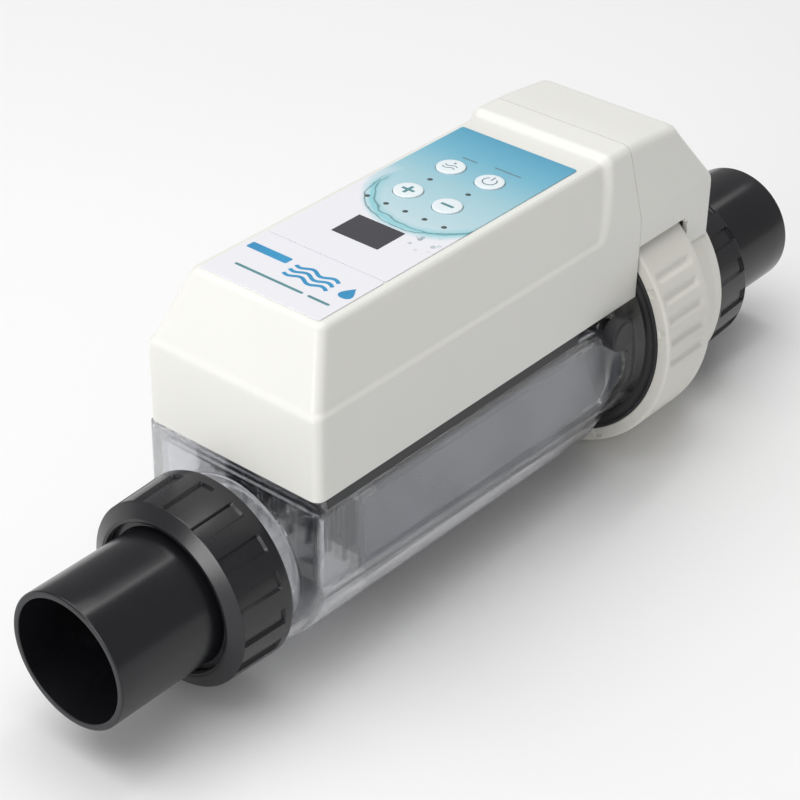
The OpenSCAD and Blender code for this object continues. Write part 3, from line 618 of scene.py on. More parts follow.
def label_print():
    """Printed film: pale near end, water blue far end and a splash where they meet."""
    found = bpy.data.materials.get("label print")
    if found:
        return found
    near, far, teal = tuple(looks().label_near), tuple(looks().label_far), tuple(looks().splash)
    material = finish_material("label print", near, near, 0.30, 0.08, 20.0, 1500.0, bump=0.08, coat=0.12)
    tree = material.node_tree
    shader = tree.nodes["Principled BSDF"]
    pool_x, pool_y, pool_r = 0.2165, -0.005, 0.0325
    x, y, _ = place_axes(tree)
    noise = tree.nodes.new("ShaderNodeTexNoise")
    noise.inputs["Scale"].default_value = 48
    noise.inputs["Detail"].default_value = 3
    tree.links.new(tree.nodes.new("ShaderNodeTexCoord").outputs["Object"], noise.inputs["Vector"])
    wobble = math_node(tree, "MULTIPLY", math_node(tree, "SUBTRACT", noise.outputs["Fac"], 0.5), 0.0055)
    dx = math_node(tree, "SUBTRACT", x, pool_x)
    dy = math_node(tree, "SUBTRACT", y, pool_y)
    reach = distance_node(tree, dx, dy)
    edge = math_node(tree, "ADD", reach, wobble)
    pool = math_node(tree, "DIVIDE", math_node(tree, "SUBTRACT", pool_r, edge), 0.0022, clamp=True)
    behind = math_node(tree, "DIVIDE", math_node(tree, "SUBTRACT", x, 0.2045), 0.022, clamp=True)
    water = math_node(tree, "MAXIMUM", pool, behind)
    ramp = tree.nodes.new("ShaderNodeValToRGB")
    stops = ramp.color_ramp.elements
    stops[0].position, stops[0].color = 0.0, (0.56, 0.70, 0.745, 1)
    stops[1].position, stops[1].color = 1.0, (*far, 1)
    middle = stops.new(0.45)
    middle.color = (0.36, 0.59, 0.66, 1)
    deep = stops.new(0.78)
    deep.color = (0.155, 0.44, 0.58, 1)
    fade = math_node(tree, "DIVIDE", math_node(tree, "SUBTRACT", x, 0.184), 0.088, clamp=True)
    tree.links.new(fade, ramp.inputs[0])
    front = math_node(tree, "SUBTRACT", 1.0, math_node(
        tree, "DIVIDE", math_node(tree, "SUBTRACT", x, 0.206), 0.014), clamp=True)

    def ring_line(radius, sway, width):
        """Soft line along a circle that sways in and out with the noise."""
        gap = math_node(tree, "ABSOLUTE", math_node(tree, "SUBTRACT", math_node(
            tree, "MULTIPLY_ADD", wobble, sway, reach), radius))
        line = math_node(tree, "SUBTRACT", 1.0, math_node(tree, "DIVIDE", gap, width), clamp=True)
        return math_node(tree, "MULTIPLY", line, front)

    drops = tree.nodes.new("ShaderNodeTexVoronoi")
    drops.inputs["Scale"].default_value = 230
    tree.links.new(tree.nodes.new("ShaderNodeTexCoord").outputs["Object"], drops.inputs["Vector"])
    blot = distance_node(tree, math_node(tree, "SUBTRACT", x, 0.181), math_node(tree, "SUBTRACT", y, -0.0225))
    near_blot = math_node(tree, "SUBTRACT", 1.0, math_node(tree, "DIVIDE", blot, 0.0085), clamp=True)
    spray = math_node(tree, "MULTIPLY", math_node(tree, "LESS_THAN", drops.outputs["Distance"], 0.3), near_blot)
    swell = math_node(tree, "MULTIPLY", ring_line(0.0312, 1.0, 0.0050), 0.85)
    streaks = math_node(tree, "MAXIMUM", ring_line(0.0296, 2.4, 0.0007), math_node(
        tree, "MAXIMUM", ring_line(pool_r, -1.9, 0.0006), math_node(tree, "MULTIPLY", spray, 1.2, clamp=True)))

    def mix_colour(factor, a, b):
        mix = tree.nodes.new("ShaderNodeMix")
        mix.data_type = "RGBA"
        tree.links.new(factor, mix.inputs["Factor"])
        for socket, value in (("A", a), ("B", b)):
            if isinstance(value, tuple):
                mix.inputs[socket].default_value = (*value, 1)
            else:
                tree.links.new(value, mix.inputs[socket])
        return mix.outputs["Result"]

    paper = shader.inputs["Base Color"].links[0].from_socket
    colour = mix_colour(water, paper, ramp.outputs["Color"])
    colour = mix_colour(swell, colour, shade(teal, 1.5))
    tree.links.new(mix_colour(math_node(tree, "MULTIPLY", streaks, 0.85), colour, shade(teal, 0.5)),
                   shader.inputs["Base Color"])
    return material


def mark_ink():
    c = tuple(looks().splash)
    return finish_material("mark ink", shade(c, 0.7), shade(c, 0.62), 0.4, 0.06, 90.0, 1600.0, bump=0.05)


def badge_ink():
    return finish_material(
        "badge ink", (0.035, 0.30, 0.55), (0.03, 0.26, 0.50), 0.36, 0.06, 60.0, 1600.0, bump=0.05)


def fine_ink():
    return finish_material("fine ink", (0.16, 0.22, 0.25), (0.13, 0.19, 0.22), 0.4, 0.06, 90.0, 1600.0, bump=0.05)


def key_white():
    return finish_material(
        "key white", (0.80, 0.86, 0.88), (0.76, 0.83, 0.86), 0.3, 0.08, 40.0, 1500.0, bump=0.08, coat=0.15)


def display_dark():
    return finish_material(
        "display dark", (0.052, 0.050, 0.060), (0.045, 0.043, 0.052), 0.22, 0.05, 30.0, 900.0, bump=0.03, coat=0.15)


def lamp_dark():
    return finish_material(
        "lamp dark", (0.07, 0.085, 0.09), (0.05, 0.06, 0.065), 0.25, 0.05, 90.0, 900.0, bump=0.05, coat=0.3)


# ---- operators ----


class BuildStep(bpy.types.Operator):
    """Base of the building steps; build() raises an error if it can't finish."""

    bl_options = {"REGISTER", "UNDO"}

    def execute(self, context):
        self.build()
        return {"FINISHED"}


def thread_cut(x, angle, pitch, depth):
    """Depth of a rounded screw thread at a station and angle."""
    t = (x / pitch - angle / TAU) % 1.0
    return depth * (0.5 - 0.5 * math.cos(TAU * t))


class CELL_OT_housing(BuildStep):
    """Clear housing: neck, flat-sided chamber with a round bottom, round end and collar."""

    bl_idname = "cell.housing"
    bl_label = "Clear housing"

    steps = 540
    neck_r, neck_bore = 36.0, 28.0
    front_x, wall = 91.5, 4.0
    half, top, lip = 46.0, 39.4, 44.7
    belly, belly_axis = (47.6, 49.6), 8.0
    crease = (-1.1, -7.4)
    shoulder = (272.5, 285.0)
    flat_end, round_r = (20.0, 12.5), 52.2
    base_turn = -23.0
    neck_x, flare_x, collar_end = 58.4, 298.0, 329.0
    collar_r, collar_bore, thread_r, pitch = 52.6, 48.6, 56.0, 4.0

    def crease_turn(self, x):
        """Angle of the lower edge of the flat side at a station, in degrees."""
        along = min(1.0, max(0.0, (x - self.front_x) / (self.shoulder[0] - self.front_x)))
        z = self.crease[0] + (self.crease[1] - self.crease[0]) * along
        turn = math.degrees(math.atan2(z - AXIS_Z, self.half))
        return turn + (self.base_turn - turn) * soft_step(self.shoulder[1], 297, x)

    def place(self, angle, x):
        """Moves the rows' angles so that one edge follows the crease on each side."""
        degrees = math.degrees(angle)
        left = 90 < degrees < 270
        turn = 180 - degrees if left else (degrees - 360 if degrees > 180 else degrees)
        if turn >= 0:
            return angle
        goal = self.crease_turn(x)
        if turn > self.base_turn:
            turn = turn * goal / self.base_turn
        else:
            turn = -90 + (turn + 90) * (goal + 90) / (self.base_turn + 90)
        return math.radians(180 - turn if left else turn)

    def outline(self, angle, x, inset):
        """Distance from the chamber axis to the wall; angle is the row's own, before place()."""
        turned = self.place(angle, x)
        c, s = abs(math.cos(turned)), math.sin(turned)
        along = (x - self.front_x) / (self.shoulder[0] - self.front_x)
        radius = self.belly[0] + (self.belly[1] - self.belly[0]) * min(1.0, along) - inset
        low = AXIS_Z - self.belly_axis
        under = -low * s + math.sqrt(radius ** 2 - (low * c) ** 2)
        limits = [80.0]
        if c > 0.05:
            limits.append((self.half - inset) / c)
        top = self.lip if x < self.front_x + 5 else self.top
        if s > 0.05:
            limits.append((top - AXIS_Z - inset) / s)
        flat = soft_min(limits, 0.45)
        height = AXIS_Z + (self.half - inset) * s / max(c, 0.05)
        below = 1 - soft_step(
            math.sin(math.radians(self.base_turn - 0.4)), math.sin(math.radians(self.base_turn + 0.4)),
            math.sin(angle))
        reach = math.hypot(max(0.0, x - self.shoulder[0]), height - self.flat_end[1]) - self.flat_end[0]
        past = soft_step(-0.9, 0.9, reach) * soft_step(self.shoulder[0], self.shoulder[0] + 3, x)
        side = flat + (self.round_r - inset - flat) * past
        belly = under + (self.round_r - inset - under) * soft_step(277, 289, x)
        return side + (belly - side) * below

    def neck(self, angle, r):
        """Distance from the chamber axis to a circle round the pipe axis."""
        s = math.sin(angle)
        return -AXIS_Z * s + math.sqrt(r * r - (AXIS_Z * math.cos(angle)) ** 2) if r > AXIS_Z else r

    def build(self):
        rows = []

        def add(x, distance):
            steps = [TAU * i / self.steps for i in range(self.steps)]
            rows.append([(x, distance(a), self.place(a, x)) for a in steps])

        def neck_at(r):
            return lambda a: self.neck(self.place(a, self.front_x), r)

        # Neck with its thread
        x = self.neck_x
        add(x, neck_at(self.neck_bore + 0.6))
        add(x, neck_at(self.neck_r - 1.2))
        x += 0.6
        while x < 80:
            add(x, lambda a, x=x: self.neck(self.place(a, x), self.neck_r - thread_cut(x, a, self.pitch, 1.1)))
            x += 0.5
        add(81, neck_at(self.neck_r))
        add(89.6, neck_at(self.neck_r))
        add(90.9, neck_at(self.neck_r + 0.5))
        add(91.5, neck_at(self.neck_r + 1.4))
        # Rounded edge of the front face
        for deep, pull in ((0, 2.4), (0.1, 1.6), (0.4, 0.9), (1.0, 0.3), (1.8, 0.0)):
            add(self.front_x + deep, lambda a, x=self.front_x + deep, pull=pull: self.outline(a, x, pull))
        # Chamber and its round end
        chamber = [96.3, *(96.6 + k * 15.9 for k in range(12)), *(self.shoulder[0] + k * 0.45 for k in range(54))]
        for x in chamber:
            add(x, lambda a, x=x: self.outline(a, x, 0))
        # Collar with its thread
        for x in (self.flare_x, 318.0):
            add(x, lambda a: self.collar_r)
        x = 318.8
        while x < 327.6:
            add(x, lambda a, x=x: self.thread_r - thread_cut(x, a, self.pitch, 1.5))
            x += 0.4
        add(self.collar_end - 0.6, lambda a: 53.4)
        add(self.collar_end, lambda a: 52.4)
        add(self.collar_end, lambda a: 49.0)
        add(self.collar_end - 0.6, lambda a: self.collar_bore)
        add(self.flare_x, lambda a: self.collar_bore)
        # Inside, back to the neck
        x = 296.5
        while x >= 276.9:
            add(x, lambda a, x=x: self.outline(a, x - 2, self.wall))
            x -= 0.75
        for k in range(11, 0, -1):
            add(97.5 + k * 16.0, lambda a, x=97.5 + k * 16.0: self.outline(a, x, self.wall))
        add(97.2, lambda a: self.outline(a, 97.2, self.wall + 0.4))
        add(96.6, lambda a: self.outline(a, 97.2, self.wall + 1.4))
        add(96.5, neck_at(self.neck_bore + 0.9))
        add(95.8, neck_at(self.neck_bore))
        add(59.0, neck_at(self.neck_bore))
        verts = [(x, r * math.cos(a), AXIS_Z + r * math.sin(a)) for row in rows for x, r, a in row]
        n = self.steps
        faces = []
        for k in range(len(rows)):
            m = (k + 1) % len(rows)
            for i in range(n):
                j = (i + 1) % n
                faces.append((k * n + i, k * n + j, m * n + j, m * n + i))
        add_piece("cell_housing_clear", verts, faces, "housing", "clear_housing", [clear_plastic()],
                  ["cell_housing"], sharp=28)


class CELL_OT_pipework(BuildStep):
    """Spigots with their flanges and the two union nuts."""

    bl_idname = "cell.pipework"
    bl_label = "Spigots and union nuts"

    pipe_r, bore_r, flange_r = 30.15, 27.15, 36.6
    flange, tail_end = 54.5, 58.0
    nut_front, nut_end = 51.0, 81.0
    nut_hole_r, nut_bore_r, nut_r = 33.4, 37.3, 42.25
    nut_slots, slot_turn, slot_half = 16, 2.0, 3.5

    def nut_shape(self, front, sign):
        depth = sizes().nut_groove / MM
        start, end = 3.4, 25.6

        def shape(angle, x, r):
            local = (x - front) * sign
            if r < 40.6:
                return x, r
            turn = ((math.degrees(angle) - self.slot_turn) * self.nut_slots / 360 + 0.5) % 1.0
            off = abs(turn - 0.5) * TAU / self.nut_slots * 42.0
            across = 1 - soft_step(self.slot_half - 0.3, self.slot_half + 0.3, off)
            along = soft_step(start, start + 0.6, local) * (1 - soft_step(end - 0.7, end, local))
            return x, r - depth * across * along

        return shape

    def build(self):
        for side, end_x, sign in (("inlet", 0.0, 1), ("outlet", END_X, -1)):
            def at(t):
                return end_x + sign * t

            stop, front, end = self.flange, self.nut_front, self.nut_end
            spigot = fillet([
                (at(0), self.bore_r, 0.5), (at(0), self.pipe_r, 0.9), (at(stop), self.pipe_r, 0.8),
                (at(stop), self.flange_r, 0.6), (at(self.tail_end), self.flange_r, 0.6),
                (at(self.tail_end), self.bore_r, 0.6),
            ])
            verts, faces = lathe(divide(spigot, 12), 0, sizes().turns)
            add_piece(side + "_spigot", verts, faces, side + "_tail", "black_plastic", [pipe_plastic()],
                      [side + "_tailpiece"])
            nut = fillet([
                (at(front), self.nut_hole_r, 0.5), (at(front), 35.0, 0.5), (at(front + 3.4), 41.2, 0.6),
                (at(end), self.nut_r, 0.9), (at(end), self.nut_bore_r, 0.6), (at(stop - 0.4), self.nut_bore_r, 0.3),
                (at(stop - 0.4), self.nut_hole_r, 0.4),
            ], 4)
            verts, faces = lathe(divide(nut, 0.7), 0, 640, self.nut_shape(at(front), sign))
            add_piece(side + "_union_nut_grip", verts, faces, side + "_nut", "black_plastic", [nut_plastic()],
                      [side + "_union_nut"], sharp=30)


class CELL_OT_lock_ring(BuildStep):
    """White lock ring with its finger grooves, and the black seal in its mouth."""

    bl_idname = "cell.lock_ring"
    bl_label = "Lock ring and seal"

    # Degrees from the Y direction within each quarter
    grooves = (56, 65, 74, 83, 92)
    notches = (60.5, 78.5)

    def build(self):
        x0, x1, outer = RING_LOW.x, RING_HIGH.x, (RING_HIGH.y - RING_LOW.y) / 2
        depth = sizes().ring_groove / MM
        mouth_r, bore_r, lip_r, lip = 59.3, 56.7, 54.6, 3.4
        profile = fillet([
            (x0, mouth_r, 0.5), (x0, outer, 1.6), (x1, outer, 2.8), (x1, lip_r, 0.7),
            (x1 - lip, lip_r, 0.3), (x1 - lip, bore_r, 0.3), (x0 + 3.3, bore_r, 0.3), (x0 + 3.3, mouth_r, 0.3),
        ], 6)

        def arc_to(degrees, centres):
            """Arc length from an angle to the nearest of the centres in its quarter."""
            return math.radians(min(abs((degrees - c + 45) % 90 - 45) for c in centres)) * outer

        def shape(angle, x, r):
            degrees = math.degrees(angle) % 90
            off = arc_to(degrees, self.grooves)
            if r > 60.5 and x > x0 + 1.2:
                across = 1 - soft_step(0.5, 3.1, off)
                along = soft_step(x0 + 1.6, x0 + 5.0, x) * (1 - soft_step(x1 - 8.5, x1 - 4.6, x))
                return x, r - depth * across * along
            if 60.2 < r < 63.6 and x <= x0 + 0.2:
                return x + 0.9 * (1 - soft_step(1.6, 2.2, arc_to(degrees, self.notches))), r
            return x, r

        verts, faces = lathe(divide(profile, 0.8), AXIS_Z, 720, shape)
        add_piece("lock_ring_grip", verts, faces, "lock_ring", "ring_plastic", [ring_plastic()], ["lock_ring"])
        seal_in, seal_out = 53.1, 59.2
        seal = fillet([
            (x0 - 0.7, seal_in, 0.3), (x0 - 0.7, 55.2, 0.3), (x0 + 0.2, 56.2, 0.3), (x0 + 0.2, 57.4, 0.3),
            (x0 - 0.6, 58.1, 0.3), (x0 - 0.4, seal_out, 0.3), (x0 + 3.0, seal_out, 0.3), (x0 + 3.0, seal_in, 0.3),
        ], 3)
        verts, faces = lathe(seal, AXIS_Z, sizes().turns)
        add_piece("ring_mouth_seal", verts, faces, "lock_ring", "seal_rubber", [seal_rubber()], ["collar_seal"])


class CELL_OT_head(BuildStep):
    """White shell behind the lock ring; the head inside keeps its CAD shape."""

    bl_idname = "cell.head"
    bl_label = "Outlet head"

    def build(self):
        low, high = node_mm("head_shroud")
        x0, x2 = low.x, high.x
        neck_r, pocket_r, barrel_r, barrel_end = 36.0, 47.9, 54.3, 350.4
        lead_half = 20.2
        profile = fillet([
            (x0, barrel_r, 0.3), (x0, 58.0, 0.6), (x0 + 13.6, 58.0, 3.0), (x0 + 22.6, 55.4, 6.0),
            (x2, 50.6, 1.6), (x2, neck_r + 0.3, 0.5), (x2 - 3, neck_r + 0.3, 0.3), (x2 - 3, pocket_r, 1.0),
            (barrel_end, pocket_r, 0.4), (barrel_end, barrel_r, 0.4),
        ])
        verts, faces = lathe(divide(profile, 3.0), AXIS_Z, sizes().turns)
        shell = add_piece("head_shell", verts, faces, "root", "ring_plastic", [ring_plastic()], ["head_shroud"])
        verts, faces = [], []
        box_faces(verts, faces, (x0 - 1, -lead_half, 60), (348.2, lead_half, 90))
        carve(shell, verts, faces, [((x0 - 20, 0, 0), (x2 + 1, 0, 0), neck_r + 0.2)])
        for side in (-1, 1):
            y = side * 30
            lug = rounded_box((349.2, y - 4, 55), (355.2, y + 4, 73), 0.6)
            add_piece("shell_lug_" + ("a" if side < 0 else "b"), *lug, "root", "ring_plastic", [ring_plastic()])
        finish_piece(shell, "root", (), 32)


def box_faces(verts, faces, lo, hi):
    """Adds a box to point and face lists."""
    base = len(verts)
    verts += [(x, y, z) for x in (lo[0], hi[0]) for y in (lo[1], hi[1]) for z in (lo[2], hi[2])]
    faces += [tuple(base + k for k in f) for f in (
        (0, 1, 3, 2), (4, 6, 7, 5), (0, 4, 5, 1), (2, 3, 7, 6), (0, 2, 6, 4), (1, 5, 7, 3))]


def rounded_box(lo, hi, radius):
    """Points and faces of a box with rounded edges."""
    bm = bmesh.new()
    bmesh.ops.create_cube(bm, size=1)
    for v in bm.verts:
        v.co = Vector([lo[k] + (hi[k] - lo[k]) * (v.co[k] + 0.5) for k in range(3)])
    bmesh.ops.bevel(bm, geom=bm.edges[:], offset=radius, segments=3, profile=0.5, affect="EDGES")
    bm.verts.index_update()
    verts = [tuple(v.co) for v in bm.verts]
    faces = [tuple(v.index for v in f.verts) for f in bm.faces]
    bm.free()
    return verts, faces


def carve(piece, verts, faces, rods, count=48):
    """Cuts boxes and round holes, given by end points and radius, out of a piece."""
    verts, faces = list(verts), list(faces)
    for start, end, r in rods:
        a, b = Vector(start), Vector(end)
        axis = (b - a).normalized()
        u = axis.orthogonal().normalized()
        w = axis.cross(u)
        base = len(verts)
        for p in (a, b):
            for i in range(count):
                t = TAU * i / count
                verts.append(tuple(p + (u * math.cos(t) + w * math.sin(t)) * r))
        faces += [(base + i, base + (i + 1) % count, base + count + (i + 1) % count, base + count + i)
                  for i in range(count)]
        faces.append(tuple(base + i for i in range(count - 1, -1, -1)))
        faces.append(tuple(base + count + i for i in range(count)))
    mesh = bpy.data.meshes.new("cutter")
    mesh.from_pydata([(x * MM, y * MM, z * MM) for x, y, z in verts], [], faces)
    bm = bmesh.new()
    bm.from_mesh(mesh)
    bmesh.ops.recalc_face_normals(bm, faces=bm.faces)
    bm.to_mesh(mesh)
    bm.free()
    cutter = bpy.data.objects.new("cutter", mesh)
    bpy.context.scene.collection.objects.link(cutter)
    apply_modifier(piece, "BOOLEAN", operation="DIFFERENCE", object=cutter, solver="EXACT")
    bpy.data.objects.remove(cutter)
    bpy.data.meshes.remove(mesh)


def weld(piece):
    """Joins doubled points and turns all faces outward."""
    bm = bmesh.new()
    bm.from_mesh(piece.data)
    bmesh.ops.remove_doubles(bm, verts=bm.verts, dist=2e-5)
    bmesh.ops.dissolve_degenerate(bm, edges=bm.edges, dist=1e-6)
    bmesh.ops.recalc_face_normals(bm, faces=bm.faces)
    high = max(bm.faces, key=lambda f: f.calc_center_median().z)
    if high.normal.z < 0:
        bmesh.ops.reverse_faces(bm, faces=bm.faces[:])
    bm.to_mesh(piece.data)
    bm.free()


class CELL_OT_covers(BuildStep):
    """Main cover over the keypad and the raised rear cap, with the step and the seam between them."""

    bl_idname = "cell.covers"
    bl_label = "Covers"

    front_x, rear_x, half = 91.5, 359.5, 46.0
    foot, shoulder, panel_top = 45.0, 83.0, 113.4
    seam = (301.86, 302.14)
    notch_x, slot_x = 337.5, 339.9
    notch_z, slot_z = 70.0, (60.0, 68.0)
    shell_r, corner = 58.6, 4.2
    front_slope, rear_slope = 0.455, 0.655
    # Per form: edge radius, angle of the side wall from upright in degrees, slope of the side wall
    forms = {"panel": (3.6, 20, 0.335), "hump": (5.5, 17, 0.272)}
    # Ends of the even stretches of an outline row
    middle = (150.0, 322.0)

    def hump(self, x):
        """Height of the raised rear part at a station; it falls towards the rear."""
        return 116.0 - 3.4 * soft_step(298, 346, x)

    def lean(self, z, slope):
        """Inward lean above the shoulder, with a soft start."""
        return slope * 1.1 * math.log1p(math.exp((z - self.shoulder) / 1.1))

    def frame_at(self, form, row, x=120):
        """Front, rear, half width, corner radius and height of one outline row at a station."""
        kind, t = row
        raised = form == "hump"
        top = self.hump(x) if raised else self.panel_top
        radius, degrees, slope = self.forms[form]
        angle = math.radians(degrees)
        wall_top = top - radius * (1 - math.sin(angle))
        if kind == "low":
            z, pull, inset = t, 0.0, 0.0
        elif kind == "wall":
            z, pull, inset = self.shoulder + t * (wall_top - self.shoulder), 0.0, 0.0
        elif kind == "edge":
            turn = angle + t * (math.pi / 2 - angle)
            z = wall_top + radius * (math.sin(turn) - math.sin(angle))
            pull, inset = radius * (math.cos(angle) - math.cos(turn)), 0.0
        else:
            z, pull, inset = top, radius * math.cos(angle), t
        side = min(z, wall_top)
        step = 0.0 if raised else sizes().swage / MM * soft_step(80, 84, side)
        half = self.half - step - self.lean(side, slope) - pull
        front = self.front_x + step + self.lean(side, self.front_slope) + pull
        rear = self.rear_x - self.lean(side, self.rear_slope) - pull
        corner = max(0.6, (self.corner - pull * 0.3) * (1 - inset * 0.9))
        shrink = inset * (half - 0.4)
        return front + shrink, rear - min(shrink, 12 * inset), half - shrink, corner, z

    def outline(self, form, row):
        """Points of one row, from the front middle round one side to the rear middle."""
        points = []
        start, end = self.middle
        front, rear, half, corner, _ = self.frame_at(form, row)
        for k in range(10):
            points.append((front, (half - corner) * k / 10))
        for k in range(7):
            a = math.pi / 2 * k / 6
            points.append((front + corner * (1 - math.cos(a)), half - corner + corner * math.sin(a)))
        for k in range(1, 14):
            points.append((front + corner + (start - front - corner) * k / 14, half))
        stations = [start + 8 * k for k in range(14)] + [262 + 1.2 * k for k in range(33)]
        for x in (*stations, *self.seam, 303.5, 308, 314, end):
            points.append((x, half))
        low_end = self.rear_x - self.corner
        for x in (325, 330, 334, self.notch_x, self.notch_x + 0.25, self.slot_x, 342, 345, 348, 351):
            points.append((end + (rear - corner - end) * (x - end) / (low_end - end), half))
        for k in range(7):
            a = math.pi / 2 * k / 6
            points.append((rear - corner + corner * math.sin(a), half - corner + corner * math.cos(a)))
        for k in range(1, 11):
            points.append((rear, (half - corner) * (1 - k / 10)))
        return points

    def rows(self):
        """Outline rows from the foot to the middle of the top, each with its place in its stretch."""
        low = [("low", z) for z in (45, 45.6, 48, 52, 56, 60, 64, 68, 70, 73, 76, 79, 80.5, 81.5, 82.25)]
        wall = [("wall", t) for t in (
            0.0, 0.025, 0.05, 0.08, 0.12, 0.18, 0.26, 0.35, 0.45, 0.55, 0.65, 0.76, 0.88, 1.0)]
        edge = [("edge", k / 7) for k in range(1, 8)]
        top = [("top", t) for t in (0.03, 0.08, 0.16, 0.28, 0.42, 0.56, 0.70, 0.84, 0.95, 1.0)]
        return low + wall + edge + top

    def blend(self, row, x, z):
        """1 on the outer form (lower band and hump), 0 on the keypad form."""
        rise = min(1.0, max(0.0, (z - self.shoulder) / (self.panel_top - self.shoulder)))
        line = 286.8 - 13.5 * (1 - rise) ** 1.7
        across = soft_step(line - 2.4, line + 2.0, x)
        below = 1 - soft_step(81.6, 84.4, z)
        return 1 - (1 - across) * (1 - below)

    def drop(self, x, y, z):
        """Lets the foot of the rear wall follow the round shell below it."""
        foot = self.foot
        if x > self.notch_x + 0.1:
            foot = AXIS_Z + math.sqrt(max(0.0, self.shell_r ** 2 - y * y))
        anchor = self.notch_z if foot < 66 else self.shoulder
        if z >= anchor:
            return z
        return foot + (z - self.foot) / (anchor - self.foot) * (anchor - foot)

    def grid(self):
        """All rows of points, both sides, and the count in a row."""
        rows, table = self.rows(), []
        for row in rows:
            panel, hump = self.outline("panel", row), self.outline("hump", row)
            line = []
            for a, b in zip(panel, hump):
                za = self.frame_at("panel", row, a[0])[4]
                zb = self.frame_at("hump", row, b[0])[4]
                share = self.blend(row, (a[0] + b[0]) / 2, za)
                x, y, z = (p + (q - p) * share for p, q in zip((*a, za), (*b, zb)))
                line.append((x, y, self.drop(x, y, z)))
            other = [(x, -y, z) for x, y, z in line[-2:0:-1]]
            table.append(line + other)
        return table

    def build(self):
        table = self.grid()
        count = len(table[0])
        half = count // 2 + 1
        verts = [p for row in table for p in row]
        keep = {"cover": [], "cap": []}
        last = len(table) - 1
        # Walls, with the seam and the notch for the lock ring left open
        for k in range(last):
            for i in range(count):
                j = (i + 1) % count
                face = (k * count + i, k * count + j, (k + 1) * count + j, (k + 1) * count + i)
                xs = [verts[v][0] for v in face]
                zs = [verts[v][2] for v in face]
                middle = sum(xs) / 4
                if self.seam[0] < middle < self.seam[1]:
                    continue
                part = "cover" if middle < self.seam[0] else "cap"
                if part == "cap" and middle < self.notch_x and max(zs) < self.notch_z + 0.01:
                    continue
                keep[part].append(face)
        # Strip that closes the top along the middle
        for i in range(1, half - 1):
            j = count - i
            a, b = last * count + i, last * count + i + 1
            c, d = last * count + (j - 1) % count, last * count + j % count
            middle = (verts[a][0] + verts[b][0]) / 2
            if self.seam[0] < middle < self.seam[1]:
                continue
            if len({a, b, c, d}) == 4:
                keep["cover" if middle < self.seam[0] else "cap"].append((a, b, c, d))
        wall = sizes().cover_wall
        for part, node, name in (
            ("cover", "control_cover", "main_cover_shell"), ("cap", "rear_cap", "rear_cap_shell"),
        ):
            used = sorted({v for f in keep[part] for v in f})
            index = {v: i for i, v in enumerate(used)}
            piece = add_piece(name, [verts[v] for v in used], [tuple(index[v] for v in f) for f in keep[part]],
                              "root", "white_plastic", [white_plastic()], [node], sharp=32)
            weld(piece)
            apply_modifier(piece, "SOLIDIFY", thickness=wall, offset=-1.0, use_even_offset=False, use_rim=True)
            if part == "cover":
                self.open_cover(piece)
            else:
                screws = [((350, s * 30, 66), (365, s * 30, 66), 1.8) for s in (-1, 1)]
                verts_in, faces_in = [], []
                for low_y, high_y in ((-50, -40), (40, 50)):
                    box_faces(verts_in, faces_in, (self.notch_x - 1, low_y, self.slot_z[0]),
                              (self.slot_x, high_y, self.slot_z[1]))
                carve(piece, verts_in, faces_in, screws)
            finish_piece(piece, "root", (), 32)
        self.bosses()

    def open_cover(self, piece):
        """Cuts the holes for keys, window, lamps and the cable gland."""
        rods = []
        below, above = 100, 120
        for name in KEYS:
            key = centre_mm(name)
            rods.append(((key.x, key.y, below), (key.x, key.y, above), KEY_HOLE_R))
        rods += [((x, y, below), (x, y, above), 1.25) for x, y in lamp_places()]
        gland = centre_mm("cable_gland")
        rods.append(((gland.x, self.half - 10, gland.z), (gland.x, self.half + 10, gland.z), 8.1))
        verts, faces = [], []
        low, high = node_mm("lcd_window")
        rim = 0.6
        box_faces(verts, faces, (low.x + rim, low.y + rim, below), (high.x - rim, high.y - rim, above))
        carve(piece, verts, faces, rods)

    def bosses(self):
        """Screw posts inside the main cover."""
        low, high, hole_r, post_r = 45.1, 63, 1.55, 3.6
        profile = fillet([(low, hole_r, 0.1), (low, post_r, 0.4), (high, post_r, 0.6), (high, hole_r, 0.1)], 3)
        for n, x in enumerate((110, 180, 250)):
            for side in (-1, 1):
                y = side * 38
                verts, faces = lathe(profile, 0, 32)
                verts = [(x + b, y + c, a) for a, b, c in verts]
                name = f"cover_post_{n}_{'a' if side < 0 else 'b'}"
                add_piece(name, verts, faces, "root", "white_plastic", [white_plastic()])


def lamp_places():
    """Centres of the seven status lamps."""
    return [(196.4, k * 10.2) for k in range(-2, 3)] + [(224.7, s * 10.2) for s in (-1, 1)]


